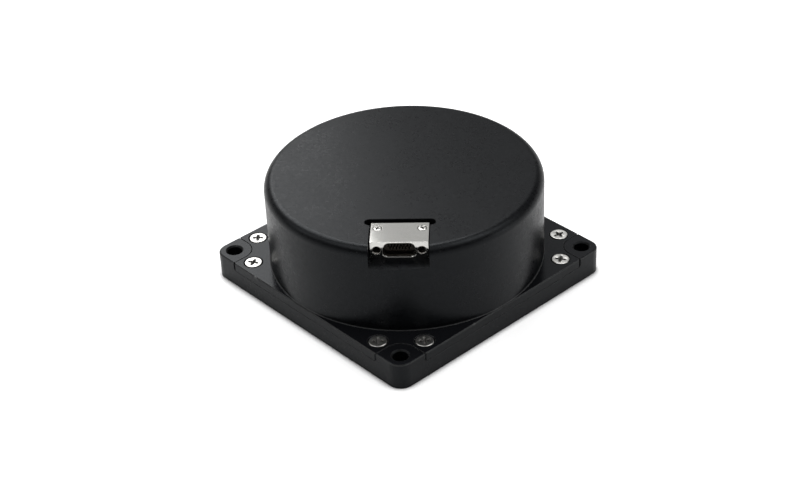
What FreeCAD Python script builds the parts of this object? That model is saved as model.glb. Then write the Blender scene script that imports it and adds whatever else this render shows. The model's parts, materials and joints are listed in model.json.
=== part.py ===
"""Single-axis fibre-optic rate sensor in a round black housing on a square base.

Frame: millimetres, +Z up, origin at the middle of the base's underside.
The square base has its corners on the X and Y axes, and the electrical
connector faces -Y.  The sensing axis is +Z.
"""
import FreeCAD, Part
import math
import os

import Sketcher
from FreeCAD import Placement, Rotation, Vector

doc = FreeCAD.newDocument("FibreGyroscope")

# ---------------------------------------------------------------- driving sizes
SIZES = [
    # housing
    ("base_side", 120.0, "side of the square base"),
    ("base_corner", 6.0, "radius of the base's four corners"),
    ("base_thickness", 8.0, "base under the cover's flange"),
    ("flange_thickness", 3.9, "flange of the cover"),
    ("base_floor", 4.5, "floor left under the coil recess"),
    ("pad_width", 14.0, "raised corner pad, measured from the side"),
    ("hole_inset", 6.5, "mounting hole from each side"),
    ("mount_hole", 6.6, "mounting hole diameter"),
    ("mount_chamfer", 0.65, "chamfer at the top of a mounting hole"),
    ("seam_gap", 0.2, "gap between a corner pad and the flange"),
    ("seam_chamfer", 0.15, "broken edges beside the gap round a pad"),
    ("joint_chamfer", 0.2, "broken outer edges where the flange meets the base"),
    ("rim_chamfer", 0.45, "broken outer edges on top of the pads and the flange"),
    ("foot_chamfer", 0.25, "broken edges under the base, round its outline and holes"),
    ("pad_foot", 1.4, "fillet at the foot of a corner pad"),
    ("flange_foot", 1.5, "fillet under the ends of the flange"),
    ("flange_end", 0.8, "chamfer on the flange's ends"),
    ("drum_diameter", 119.0, "outside of the round cover"),
    ("total_height", 51.0, "top of the cover above the base's underside"),
    ("drum_edge", 4.0, "radius of the cover's top edge"),
    ("drum_foot", 0.4, "fillet between drum and flange"),
    ("cover_wall", 3.0, "side wall of the cover"),
    ("cover_roof", 3.0, "roof of the cover"),
    # spigot and seal
    ("spigot_clearance", 0.1, "radial gap between spigot and cover"),
    ("spigot_width", 2.4, "radial width of the spigot ring"),
    ("spigot_height", 5.0, "spigot ring above the base"),
    ("channel_inner", 25.0, "inner edge of the coil channel"),
    ("seal_depth", 1.3, "depth of the seal groove"),
    ("seal_height", 1.8, "height of the seal groove"),
    # cover screws, M4 x 10 countersunk
    ("screw_along", 40.2, "cover screw from the middle of a side"),
    ("screw_inset", 6.4, "cover screw from the side"),
    ("screw_thread", 4.0, "cover screw thread"),
    ("screw_head", 7.9, "cover screw head diameter"),
    ("screw_rim", 0.6, "straight rim of a cover screw's head"),
    ("screw_stand", 0.2, "cover screw's head above the flange"),
    ("screw_length", 10.0, "cover screw length"),
    ("screw_clear", 4.4, "clearance hole in the flange"),
    ("inner_thread", 3.0, "screws that hold the spool and the tray"),
    ("inner_head", 5.6, "head diameter of those screws"),
    ("board_thread", 2.5, "screws that hold the control board"),
    # connector bay in the cover
    ("bay_width", 24.6, "width of the bay"),
    ("bay_floor", 42.2, "height of the bay's floor"),
    ("bay_back", 36.0, "bay's rear wall from the middle"),
    ("bay_relief", 2.3, "radius of the relief slot's ends"),
    ("bay_wall", 2.2, "wall left round the bay"),
    ("bay_plate", 2.5, "thickness of the bay's floor"),
    # connector, 15-way micro rectangular
    ("plug_face", 51.4, "connector's front face from the middle"),
    ("plug_width", 23.62, "connector flange width"),
    ("plug_height", 7.8, "connector flange height"),
    ("plug_length", 14.0, "connector from front face to back"),
    ("plug_thread", 2.0, "screws that hold the connector down"),
    ("plug_screw_seat", 4.3, "counterbore for those screws' heads"),
    ("jack_spacing", 18.16, "between the two jack sockets"),
    ("jack_bore", 3.8, "bore for a jack socket"),
    ("jack_thread", 2.4, "thread inside a jack socket"),
    ("jack_length", 6.0, "length of a jack socket"),
    ("shroud_wide", 15.3, "longer side of the D opening"),
    ("shroud_narrow", 10.8, "shorter side of the D opening"),
    ("shroud_height", 6.65, "height of the D opening"),
    ("shroud_rise", 0.2, "middle of the D opening above the connector's"),
    ("shroud_corner", 2.1, "corner radius of the D opening"),
    ("shroud_depth", 4.2, "front face to the insulator"),
    ("contact_pitch", 1.27, "between neighbouring contacts"),
    ("contact_pin", 0.5, "contact diameter"),
    # coil
    ("shield_sheet", 0.8, "magnetic shield sheet"),
    ("shield_radius", 53.0, "outside radius of the shield"),
    ("spool_height", 18.0, "coil spool height"),
    ("spool_flange", 1.5, "spool flange thickness"),
    ("spool_radius", 51.6, "spool flange radius"),
    ("hub_outer", 37.0, "spool hub outside radius"),
    ("hub_inner", 34.0, "spool hub inside radius"),
    ("winding_radius", 50.8, "outside radius of the wound fibre"),
    ("lip_radius", 27.0, "inner edge of the spool's fixing lip"),
    ("spool_bolts", 30.5, "radius of the spool screws"),
    # optics tray and control board
    ("tray_bottom", 24.8, "underside of the optics tray"),
    ("tray_sheet", 1.5, "tray floor"),
    ("tray_radius", 54.5, "outside radius of the tray"),
    ("tray_wall", 5.5, "height of the tray's fibre walls"),
    ("tray_rim", 1.5, "thickness of the tray's outer wall"),
    ("tray_centre", 16.0, "hole in the middle of the tray"),
    ("guide_radius", 48.0, "outside of the tray's inner wall"),
    ("guide_wall", 1.2, "thickness of the tray's inner wall"),
    ("gate_width", 32.0, "gates in the tray's inner wall"),
    ("loop_radius", 50.5, "middle of the spare fibre loops"),
    ("pad_sheet", 0.4, "thermal pad under the light source"),
    ("post_radius", 20.0, "tray posts from the middle"),
    ("board_bottom", 34.6, "underside of the control board"),
    ("board_sheet", 1.6, "thickness of the control board"),
    ("board_radius", 54.0, "radius of the control board"),
    ("standoff_radius", 42.0, "board standoffs from the middle"),
]

sheet = doc.addObject("Spreadsheet::Sheet", "Sizes")
for row, (alias, number, meaning) in enumerate(SIZES, 1):
    sheet.set("A%d" % row, meaning)
    sheet.set("B%d" % row, "%g" % number)
    sheet.setAlias("B%d" % row, alias)
doc.recompute()


class Size:
    """A length: its value, and the spreadsheet expression that gives it."""

    def __init__(self, value, text):
        self.value = value
        self.text = text

    def joined(self, other, sign, value):
        text = other.text if isinstance(other, Size) else "%g" % other
        return Size(value, "(%s %s %s)" % (self.text, sign, text))

    def __add__(self, other):
        return self.joined(other, "+", self.value + plain(other))

    def __sub__(self, other):
        return self.joined(other, "-", self.value - plain(other))

    def __mul__(self, other):
        return self.joined(other, "*", self.value * plain(other))

    def __truediv__(self, other):
        return self.joined(other, "/", self.value / plain(other))

    def __radd__(self, other):
        return as_size(other) + self

    def __rsub__(self, other):
        return as_size(other) - self

    def __neg__(self):
        return as_size(-1) * self


def as_size(length):
    """A plain number as a Size, so that both work in the same places."""
    return length if isinstance(length, Size) else Size(float(length), "%g" % length)


def plain(length):
    """The number behind a Size, or the number itself."""
    return length.value if isinstance(length, Size) else float(length)


def size(alias):
    return Size(float(sheet.get(alias)), "Sizes." + alias)


def set_size(thing, field, length):
    """Binds one property to the sheet, or sets it where it is a plain number."""
    thing.setExpression(field, as_size(length).text)


# ---------------------------------------------------------------- derived sizes
HALF = size("base_side") / 2
FLANGE_TOP = size("base_thickness") + size("flange_thickness")
PAD_INNER = HALF - size("pad_width")
HOLE_AT = HALF - size("hole_inset")
SCREW_ACROSS = HALF - size("screw_inset")
SINK_RADIUS = size("screw_head") / 2 + size("screw_rim") - size("screw_stand") + 0.02
DRUM_RADIUS = size("drum_diameter") / 2
BORE_RADIUS = DRUM_RADIUS - size("cover_wall")
SPIGOT_RADIUS = BORE_RADIUS - size("spigot_clearance")
SPIGOT_INNER = SPIGOT_RADIUS - size("spigot_width")
GROOVE_BOTTOM = size("base_thickness") + 0.9
PLUG_MIDDLE = size("bay_floor") + size("plug_height") / 2
PLUG_TOP = size("bay_floor") + size("plug_height")
PLUG_BACK = size("plug_length") - size("plug_face")
JACK_AT = size("jack_spacing") / 2
PLUG_SCREW_AT = -size("plug_face") + 10.1
COIL_BOTTOM = size("base_floor") + size("shield_sheet")
COIL_TOP = COIL_BOTTOM + size("spool_height")
TRAY_TOP = size("tray_bottom") + size("tray_sheet")
BOARD_TOP = size("board_bottom") + size("board_sheet")
SQUARE_TURN = 45  # degrees, puts the base's corners on the X and Y axes
FOUR, SIX = 4, 6
SCREW_GAP = 0.05  # between a thread and its tapped hole, on the radius
SCREW_TURNS = [12, 63, 31, 84, 5, 47, 72, 20]  # each cover screw's cross, in degrees
ALONG_X = Rotation(Vector(0, 1, 0), 90)
ALONG_Y = Rotation(Vector(1, 0, 0), -90)
ALONG_MINUS_Y = Rotation(Vector(1, 0, 0), 90)
CAN_TOP = COIL_TOP + 0.2
SOURCE_AT, COUPLER_AT, MODULATOR_AT = -26.0, 23.0, 24.0  # optical parts from the middle
LEAD_HIGH = 2.85  # height of the sleeved fibres above the tray
SHROUD_BACK = size("shroud_depth") - size("plug_face")
SHROUD_MIDDLE = PLUG_MIDDLE + size("shroud_rise")
NOSE_INSET = 0.9  # insulator's nose inside the D opening
CONTACT_TIP = 1.0 - size("plug_face")
VOID_SIDE, VOID_BACK = 7.0, -40.6  # room for the insulator in the connector's shell
VOID_TOP = PLUG_MIDDLE + 2.7
TAIL_SIDE, TAIL_FRONT, TAIL_BACK = 6.0, -46.0, -41.2  # opening for the contacts' tails
TAIL_END = 38.4
LEAD_SIDE, LEAD_LOW, LEAD_SHEET = 6.5, 37.4, 0.2  # the flexible lead
CHIP_LEAD = 1.2  # reach of a chip's leads beyond its case


# ---------------------------------------------------------------- modelling tools
def new_body(label):
    body = doc.addObject("PartDesign::Body", label)
    body.Label = label
    return body


def new_sketch(body, name, role="XY_Plane", height=0.0, turn=0.0):
    """A sketch on one of the body's origin planes, lifted and turned about its normal."""
    sketch = body.newObject("Sketcher::SketchObject", name)
    plane = [item for item in body.Origin.OriginFeatures if item.Role == role][0]
    sketch.AttachmentSupport = [(plane, "")]
    sketch.MapMode = "FlatFace"
    sketch.AttachmentOffset = Placement(Vector(0, 0, 0), Rotation(Vector(0, 0, 1), turn))
    set_size(sketch, "AttachmentOffset.Base.z", height)
    return sketch


def pin_down(sketch, shape, corner, kind, length):
    """Fixes one coordinate of a point to a length from the sheet."""
    if plain(length) == 0.0:
        axis = -2 if kind == "DistanceX" else -1
        sketch.addConstraint(Sketcher.Constraint("PointOnObject", shape, corner, axis))
        return
    index = sketch.addConstraint(Sketcher.Constraint(kind, shape, corner, plain(length)))
    set_size(sketch, "Constraints[%d]" % index, length)


def polygon(sketch, corners):
    """A closed outline of straight edges through the given corners."""
    points = [Vector(plain(x), plain(y), 0) for x, y in corners]
    first = sketch.GeometryCount
    count = len(points)
    for i in range(count):
        sketch.addGeometry(Part.LineSegment(points[i], points[(i + 1) % count]), False)
    for i in range(count):
        following = first + (i + 1) % count
        sketch.addConstraint(Sketcher.Constraint("Coincident", first + i, 2, following, 1))
    for i, (x, y) in enumerate(corners):
        pin_down(sketch, first + i, 1, "DistanceX", x)
        pin_down(sketch, first + i, 1, "DistanceY", y)
    return sketch


def rectangle(sketch, left, bottom, right, top):
    return polygon(sketch, [(left, bottom), (right, bottom), (right, top), (left, top)])


def circle(sketch, radius, x=0.0, y=0.0):
    centre = Vector(plain(x), plain(y), 0)
    shape = sketch.addGeometry(Part.Circle(centre, Vector(0, 0, 1), plain(radius)), False)
    pin_down(sketch, shape, 3, "DistanceX", x)
    pin_down(sketch, shape, 3, "DistanceY", y)
    index = sketch.addConstraint(Sketcher.Constraint("Radius", shape, plain(radius)))
    set_size(sketch, "Constraints[%d]" % index, radius)
    return sketch


def volume_of(body):
    doc.recompute()
    return body.Tip.Shape.Volume if body.Tip else 0.0


def grow(body, kind, sketch, length=None):
    """Pads or revolves a sketch and checks that the body gained volume."""
    before = volume_of(body)
    feature = body.newObject("PartDesign::" + kind, sketch.Name + kind)
    feature.Profile = sketch
    finish_profile(feature, sketch, length)
    if volume_of(body) <= before:
        raise RuntimeError(feature.Name + " added nothing")
    return feature


def cut(body, kind, sketch, length=None):
    """Pockets or grooves a sketch and checks that the body lost volume."""
    before = volume_of(body)
    feature = body.newObject("PartDesign::" + kind, sketch.Name + kind)
    feature.Profile = sketch
    finish_profile(feature, sketch, length)
    if volume_of(body) >= before:
        raise RuntimeError(feature.Name + " cut nothing")
    return feature


def finish_profile(feature, sketch, length):
    if length is None:
        feature.ReferenceAxis = (sketch, ["V_Axis"])
        feature.Angle = 360
    else:
        set_size(feature, "Length", length)


def pattern_round(body, feature, count):
    """Repeats a feature about the Z axis."""
    before = volume_of(body)
    pattern = body.newObject("PartDesign::PolarPattern", feature.Name + "Pattern")
    pattern.Originals = [feature]
    axis = [item for item in body.Origin.OriginFeatures if item.Role == "Z_Axis"][0]
    pattern.Axis = (axis, [""])
    pattern.Angle = 360
    pattern.Occurrences = count
    body.Tip = pattern
    if abs(volume_of(body) - before) < 1e-6:
        raise RuntimeError(pattern.Name + " changed nothing")
    return pattern


def dress(body, kind, name, length, test):
    """Fillets or chamfers the edges of the body that pass the test."""
    doc.recompute()
    base = body.Tip
    names = ["Edge%d" % n for n, edge in enumerate(base.Shape.Edges, 1) if test(edge)]
    if not names:
        raise RuntimeError("no edge found for " + name)
    feature = body.newObject("PartDesign::" + kind, name)
    feature.Base = (base, names)
    set_size(feature, "Radius" if kind == "Fillet" else "Size", length)
    doc.recompute()
    if "Invalid" in feature.State or not feature.Shape.isValid():
        raise RuntimeError("%s can't be made on %s" % (name, ", ".join(names)))
    return feature


def middle(edge):
    return edge.valueAt((edge.FirstParameter + edge.LastParameter) / 2)


def in_square(point):
    """A point's two distances from the base's centre lines, both made positive."""
    angle = math.radians(-SQUARE_TURN)
    x = point.x * math.cos(angle) - point.y * math.sin(angle)
    y = point.x * math.sin(angle) + point.y * math.cos(angle)
    return abs(x), abs(y)


def near(a, b, slack=0.01):
    return abs(plain(a) - plain(b)) < slack


def is_level(edge, height):
    return near(edge.BoundBox.ZMin, height) and near(edge.BoundBox.ZMax, height)


def is_upright(edge, low, high):
    flat = edge.BoundBox.XLength < 0.01 and edge.BoundBox.YLength < 0.01
    return flat and near(edge.BoundBox.ZMin, low) and near(edge.BoundBox.ZMax, high)


def is_ring(edge, radius):
    return isinstance(edge.Curve, Part.Circle) and near(edge.Curve.Radius, radius)


def block(name, low, high):
    """A Part box from its lowest to its highest corner."""
    box = doc.addObject("Part::Box", name)
    for field, a, b in zip(("Length", "Width", "Height"), low, high):
        set_size(box, field, as_size(b) - a)
    for axis, a in zip("xyz", low):
        set_size(box, "Placement.Base." + axis, a)
    return box


def rod(name, radius, length, foot, tilt=None):
    """A Part cylinder standing on its foot point, or lying along a tilted axis."""
    cylinder = doc.addObject("Part::Cylinder", name)
    if tilt:
        cylinder.Placement = Placement(Vector(0, 0, 0), tilt)
    set_size(cylinder, "Radius", radius)
    set_size(cylinder, "Height", length)
    for axis, a in zip("xyz", foot):
        set_size(cylinder, "Placement.Base." + axis, a)
    return cylinder


def hexagon(name, across, length, foot):
    """A hexagonal prism, as used for standoffs."""
    prism = doc.addObject("Part::Prism", name)
    prism.Polygon = 6
    set_size(prism, "Circumradius", across / math.sqrt(3))
    set_size(prism, "Height", length)
    for axis, a in zip("xyz", foot):
        set_size(prism, "Placement.Base." + axis, a)
    return prism


def joined(name, members):
    fusion = doc.addObject("Part::MultiFuse", name)
    fusion.Shapes = members
    return fusion


def without(name, solid, tools):
    """One solid with the others cut out of it."""
    result = doc.addObject("Part::Cut", name)
    result.Base = solid
    result.Tool = tools[0] if len(tools) == 1 else joined(name + "Tools", tools)
    return result


def copies(name, master, places):
    """One solid repeated at each placement, kept as separate solids."""
    doc.recompute()
    group = doc.addObject("Part::Feature", name)
    shapes = []
    for place in places:
        shape = master.Shape.copy()
        shape.Placement = place.multiply(master.Shape.Placement)
        shapes.append(shape)
    group.Shape = Part.makeCompound(shapes)
    return group


def at(x, y, z, turn=0.0):
    """A placement at a point, turned about the vertical."""
    return Placement(Vector(plain(x), plain(y), plain(z)), Rotation(Vector(0, 0, 1), turn))


def ring_places(radius, count, height, first=0.0):
    """Placements spread evenly on a circle."""
    places = []
    for i in range(count):
        angle = math.radians(first + 360.0 / count * i)
        reach = plain(radius)
        places.append(at(reach * math.cos(angle), reach * math.sin(angle), height, 37.0 * i))
    return places


def tube_along(name, radius, points, bend):
    """A round lead through the points, its corners rounded to the bend radius."""
    edges = []
    start = points[0]
    for before, corner, after in zip(points, points[1:], points[2:]):
        into = (corner - before).normalize()
        out = (after - corner).normalize()
        turn = into.getAngle(out)
        back = bend * math.tan(turn / 2)
        half_way = (out - into).normalize()
        centre = corner + half_way * (bend / math.cos(turn / 2))
        first, last = corner - into * back, corner + out * back
        edges.append(Part.LineSegment(start, first).toShape())
        edges.append(Part.Arc(first, centre - half_way * bend, last).toShape())
        start = last
    edges.append(Part.LineSegment(start, points[-1]).toShape())
    section = Part.Circle(points[0], points[1] - points[0], radius).toShape()
    lead = doc.addObject("Part::Feature", name)
    lead.Shape = Part.Wire(edges).makePipeShell([Part.Wire(section)], True, False)
    return lead


def turned(label, profile):
    """A body of revolution about Z from (radius, height) corners."""
    body = new_body(label)
    sketch = polygon(new_sketch(body, label + "Profile", "XZ_Plane"), profile)
    grow(body, "Revolution", sketch)
    return body


def drill(body, name, radius, spots, height, depth, count, turn=0.0):
    """Round holes cut downwards from a height, repeated about the Z axis."""
    sketch = new_sketch(body, name, height=height, turn=turn)
    for x, y in spots:
        circle(sketch, radius, x, y)
    hole = cut(body, "Pocket", sketch, depth)
    return pattern_round(body, hole, count) if count > 1 else hole


def cross_recess(body, arm, width, height, depth):
    """A cross cut into a screw's head."""
    far, near_side = arm / 2, width / 2
    corners = [(far, -near_side), (far, near_side), (near_side, near_side), (near_side, far),
               (-near_side, far), (-near_side, near_side), (-far, near_side), (-far, -near_side),
               (-near_side, -near_side), (-near_side, -far), (near_side, -far), (near_side, -near_side)]
    sketch = polygon(new_sketch(body, body.Label + "Cross", height=height), corners)
    cut(body, "Pocket", sketch, depth)
    core = circle(new_sketch(body, body.Label + "Core", height=height), width)
    cut(body, "Pocket", core, depth)


def countersunk_screw(label, thread, head, rim, length):
    """A flat-head screw with the top of its head at the origin and its rim broken."""
    shank, edge = thread / 2 - SCREW_GAP, rim / 2
    profile = [(0.0, -length), (shank - 0.4, -length), (shank, 0.4 - length),
               (shank, -rim - (head / 2 - shank)), (head / 2, -rim), (head / 2, -edge),
               (head / 2 - edge, 0.0), (0.0, 0.0)]
    body = turned(label, [(x, as_size(y)) for x, y in profile])
    cross_recess(body, head * 0.56, head * 0.13, 0.0, head * 0.2)
    return body


def pan_screw(label, thread, head, length):
    """A pan-head screw with the underside of its head at the origin."""
    shank = thread / 2 - SCREW_GAP
    tall = head * 0.34
    profile = [(0.0, -length), (shank - 0.2, -length), (shank, 0.2 - length), (shank, 0.0),
               (head / 2, 0.0), (head / 2, tall * 0.55), (head * 0.4, tall * 0.88),
               (head * 0.28, tall), (0.0, tall)]
    body = turned(label, [(as_size(x), as_size(y)) for x, y in profile])
    cross_recess(body, as_size(head * 0.52), as_size(head * 0.14), tall, as_size(head * 0.17))
    return body


# ---------------------------------------------------------------- base and cover
def make_base_plate():
    """Square base with four raised corner pads, a sealing spigot and the coil channel."""
    body = new_body("base_plate")
    outline = rectangle(new_sketch(body, "BaseOutline", turn=SQUARE_TURN), -HALF, -HALF, HALF, HALF)
    grow(body, "Pad", outline, FLANGE_TOP)
    dress(body, "Fillet", "BaseCorners", size("base_corner"), lambda e: is_upright(e, 0, FLANGE_TOP))
    dress(body, "Chamfer", "BaseRim", size("rim_chamfer"), lambda e: is_level(e, FLANGE_TOP))
    dress(body, "Chamfer", "BaseFoot", size("foot_chamfer"), lambda e: is_level(e, 0))

    # the flange's seat leaves a pad standing at each corner
    seat = new_sketch(body, "FlangeSeat", height=FLANGE_TOP, turn=SQUARE_TURN)
    polygon(seat, plus_outline(PAD_INNER, HALF + 1))
    cut(body, "Pocket", seat, size("flange_thickness"))
    dress(body, "Fillet", "PadRounding", HOLE_AT - PAD_INNER, lambda e: is_pad_corner(e, PAD_INNER))
    dress(body, "Fillet", "PadFeet", size("pad_foot"),
          lambda e: is_level(e, size("base_thickness")) and is_corner_side(middle(e), PAD_INNER))
    dress(body, "Chamfer", "PadEdges", size("seam_chamfer"),
          lambda e: is_level(e, FLANGE_TOP) and is_corner_side(middle(e), PAD_INNER))
    dress(body, "Chamfer", "SeatEdges", size("joint_chamfer"),
          lambda e: is_level(e, size("base_thickness")) and is_outer(middle(e)))

    spigot = new_sketch(body, "Spigot", height=size("base_thickness"))
    circle(circle(spigot, SPIGOT_RADIUS), SPIGOT_INNER)
    grow(body, "Pad", spigot, size("spigot_height"))
    dress(body, "Chamfer", "SpigotLead", as_size(0.5),
          lambda e: is_ring(e, SPIGOT_RADIUS) and e.BoundBox.ZMin > plain(FLANGE_TOP))
    groove = new_sketch(body, "SealGroove", "XZ_Plane")
    rectangle(groove, SPIGOT_RADIUS - size("seal_depth"), GROOVE_BOTTOM,
              SPIGOT_RADIUS + 1, GROOVE_BOTTOM + size("seal_height"))
    cut(body, "Groove", groove)
    channel = new_sketch(body, "CoilChannel", height=size("base_thickness"))
    circle(circle(channel, SPIGOT_INNER), size("channel_inner"))
    cut(body, "Pocket", channel, size("base_thickness") - size("base_floor"))

    drill(body, "MountHole", size("mount_hole") / 2, [(HOLE_AT, HOLE_AT)],
          FLANGE_TOP, FLANGE_TOP, FOUR, SQUARE_TURN)
    dress(body, "Chamfer", "MountHoleEdges", size("mount_chamfer"),
          lambda e: is_ring(e, size("mount_hole") / 2) and is_level(e, FLANGE_TOP))
    dress(body, "Chamfer", "MountHoleFeet", size("foot_chamfer"),
          lambda e: is_ring(e, size("mount_hole") / 2) and is_level(e, 0))
    drill(body, "CoverScrewHole", size("screw_thread") / 2,
          [(SCREW_ACROSS, size("screw_along")), (size("screw_along"), SCREW_ACROSS)],
          size("base_thickness"), size("screw_length") - size("flange_thickness") + 0.5,
          FOUR, SQUARE_TURN)
    drill(body, "SpoolScrewHole", size("inner_thread") / 2, [(size("spool_bolts"), 0.0)],
          size("base_floor"), as_size(3.5), SIX)
    drill(body, "PostHole", size("inner_thread") / 2, [(size("post_radius"), 0.0)],
          size("base_thickness"), as_size(5.5), FOUR, SQUARE_TURN)
    return body


def plus_outline(inner, outer):
    """Twelve corners of a square with its four corners cut out."""
    return [(outer, -inner), (outer, inner), (inner, inner), (inner, outer),
            (-inner, outer), (-inner, inner), (-outer, inner), (-outer, -inner),
            (-inner, -inner), (-inner, -outer), (inner, -outer), (inner, -inner)]


def is_pad_corner(edge, inner):
    across, along = in_square(middle(edge))
    upright = edge.BoundBox.XLength < 0.01 and edge.BoundBox.YLength < 0.01
    return upright and near(across, inner) and near(along, inner)


def is_corner_side(point, inner):
    """Whether a point lies on the inner sides, or their rounding, of a corner's outline."""
    across, along = in_square(point)
    return min(across, along) > plain(inner) - 0.01 and max(across, along) < plain(HALF) - 0.01


def is_outer(point):
    """Whether a point lies on one of the square's outer sides or its rounded corners."""
    across, along = in_square(point)
    return max(across, along) > plain(HALF) - plain(size("base_corner")) * 0.3


def make_housing_cover():
    """Round drum and square flange in one piece, with the connector's bay in its rim."""
    body = new_body("housing_cover")
    opening = PAD_INNER - size("seam_gap")
    flange = new_sketch(body, "Flange", height=size("base_thickness"), turn=SQUARE_TURN)
    polygon(flange, plus_outline(opening, HALF))
    grow(body, "Pad", flange, size("flange_thickness"))
    dress(body, "Fillet", "FlangeCorners", HOLE_AT - opening, lambda e: is_pad_corner(e, opening))
    dress(body, "Chamfer", "FlangeEnds", size("flange_end"),
          lambda e: is_upright(e, size("base_thickness"), FLANGE_TOP) and is_flange_end(e, opening))
    dress(body, "Fillet", "FlangeFeet", size("flange_foot"),
          lambda e: is_level(e, size("base_thickness")) and is_corner_side(middle(e), opening))
    dress(body, "Chamfer", "JointEdges", size("joint_chamfer"),
          lambda e: is_level(e, size("base_thickness")) and is_outer(middle(e)))

    drum = circle(new_sketch(body, "Drum", height=size("base_thickness")), DRUM_RADIUS)
    grow(body, "Pad", drum, size("total_height") - size("base_thickness"))
    dress(body, "Fillet", "DrumEdge", size("drum_edge"),
          lambda e: is_ring(e, DRUM_RADIUS) and is_level(e, size("total_height")))
    dress(body, "Fillet", "DrumFoot", size("drum_foot"),
          lambda e: is_ring(e, DRUM_RADIUS) and is_level(e, FLANGE_TOP))

    hollow = new_sketch(body, "Hollow", "XZ_Plane")
    ceiling = size("total_height") - size("cover_roof")
    polygon(hollow, [(0.0, size("base_thickness") - 1), (BORE_RADIUS, size("base_thickness") - 1),
                     (BORE_RADIUS, ceiling - 2), (BORE_RADIUS - 2, ceiling), (0.0, ceiling)])
    cut(body, "Groove", hollow)

    # a tub round the bay closes the housing below and behind the connector
    tub_wide = size("bay_width") / 2 + size("bay_relief") + size("bay_wall")
    tub = new_sketch(body, "BayTub", height=size("bay_floor") - size("bay_plate"))
    rectangle(tub, -tub_wide, 2.8 - DRUM_RADIUS, tub_wide, size("bay_wall") - size("bay_back"))
    grow(body, "Pad", tub, ceiling + 1 - (size("bay_floor") - size("bay_plate")))
    bay_depth = size("total_height") - size("bay_floor")
    bay = new_sketch(body, "Bay", height=size("total_height"))
    rectangle(bay, -size("bay_width") / 2, -DRUM_RADIUS - 2, size("bay_width") / 2, -size("bay_back"))
    cut(body, "Pocket", bay, bay_depth)
    relief = new_sketch(body, "BayRelief", height=size("total_height"))
    end = size("bay_width") / 2
    slot(relief, end, -size("bay_back") - size("bay_relief"), size("bay_relief"))
    cut(body, "Pocket", relief, bay_depth)
    tails = new_sketch(body, "TailOpening", height=size("bay_floor"))
    rectangle(tails, -TAIL_SIDE, TAIL_FRONT, TAIL_SIDE, TAIL_BACK)
    cut(body, "Pocket", tails, size("bay_plate"))
    drill(body, "ConnectorScrewHole", size("plug_thread") / 2,
          [(JACK_AT, PLUG_SCREW_AT), (-JACK_AT, PLUG_SCREW_AT)],
          size("bay_floor"), size("bay_plate"), 1)

    drill(body, "FlangeScrewHole", size("screw_clear") / 2,
          [(SCREW_ACROSS, size("screw_along")), (size("screw_along"), SCREW_ACROSS)],
          FLANGE_TOP, size("flange_thickness"), FOUR, SQUARE_TURN)
    dress(body, "Chamfer", "Countersinks", SINK_RADIUS - size("screw_clear") / 2,
          lambda e: is_ring(e, size("screw_clear") / 2) and is_level(e, FLANGE_TOP))
    dress(body, "Chamfer", "OpeningEdges", size("seam_chamfer"),
          lambda e: is_level(e, FLANGE_TOP) and is_corner_side(middle(e), opening))
    dress(body, "Chamfer", "FlangeRims", size("rim_chamfer"),
          lambda e: is_level(e, FLANGE_TOP) and near(max(in_square(middle(e))), HALF))
    return body


def is_flange_end(edge, opening):
    across, along = in_square(middle(edge))
    return near(max(across, along), HALF) and near(min(across, along), opening)


def slot(sketch, end, y, radius):
    """A long slot along X with round ends centred at plus and minus its end."""
    x, height, r = plain(end), plain(y), plain(radius)
    normal = Vector(0, 0, 1)
    right = Part.Circle(Vector(x, height, 0), normal, r)
    left = Part.Circle(Vector(-x, height, 0), normal, r)
    quarter = math.pi / 2
    sketch.addGeometry(Part.LineSegment(Vector(-x, height - r, 0), Vector(x, height - r, 0)), False)
    sketch.addGeometry(Part.ArcOfCircle(right, -quarter, quarter), False)
    sketch.addGeometry(Part.LineSegment(Vector(x, height + r, 0), Vector(-x, height + r, 0)), False)
    sketch.addGeometry(Part.ArcOfCircle(left, quarter, 3 * quarter), False)
    for first, start, second, finish in ((0, 2, 1, 1), (1, 2, 2, 1), (2, 2, 3, 1), (3, 2, 0, 1)):
        sketch.addConstraint(Sketcher.Constraint("Tangent", first, start, second, finish))
    sketch.addConstraint(Sketcher.Constraint("Equal", 1, 3))
    for shape, x_at in ((1, end), (3, -end)):
        pin_down(sketch, shape, 3, "DistanceX", x_at)
        pin_down(sketch, shape, 3, "DistanceY", y)
    index = sketch.addConstraint(Sketcher.Constraint("Radius", 1, r))
    set_size(sketch, "Constraints[%d]" % index, radius)
    return sketch


def make_cover_screws():
    master = countersunk_screw("CoverScrew", size("screw_thread"), size("screw_head"),
                               size("screw_rim"), size("screw_length"))
    across, along = plain(SCREW_ACROSS), plain(size("screw_along"))
    top = plain(FLANGE_TOP + size("screw_stand"))
    spots = [(across, along), (along, across), (-along, across), (-across, along),
             (-across, -along), (-along, -across), (along, -across), (across, -along)]
    turn = Rotation(Vector(0, 0, 1), SQUARE_TURN)
    places = []
    for i, (x, y) in enumerate(spots):
        spot = turn.multVec(Vector(x, y, top))
        places.append(at(spot.x, spot.y, spot.z, SCREW_TURNS[i]))
    return copies("cover_screws", master, places)


def make_cover_seal():
    """Rubber ring in the spigot's groove."""
    seal = doc.addObject("Part::Torus", "cover_seal")
    section = (size("seal_depth") + size("spigot_clearance")) / 2
    set_size(seal, "Radius1", BORE_RADIUS - section)
    set_size(seal, "Radius2", section - 0.02)
    set_size(seal, "Placement.Base.z", GROOVE_BOTTOM + size("seal_height") / 2)
    return seal


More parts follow.
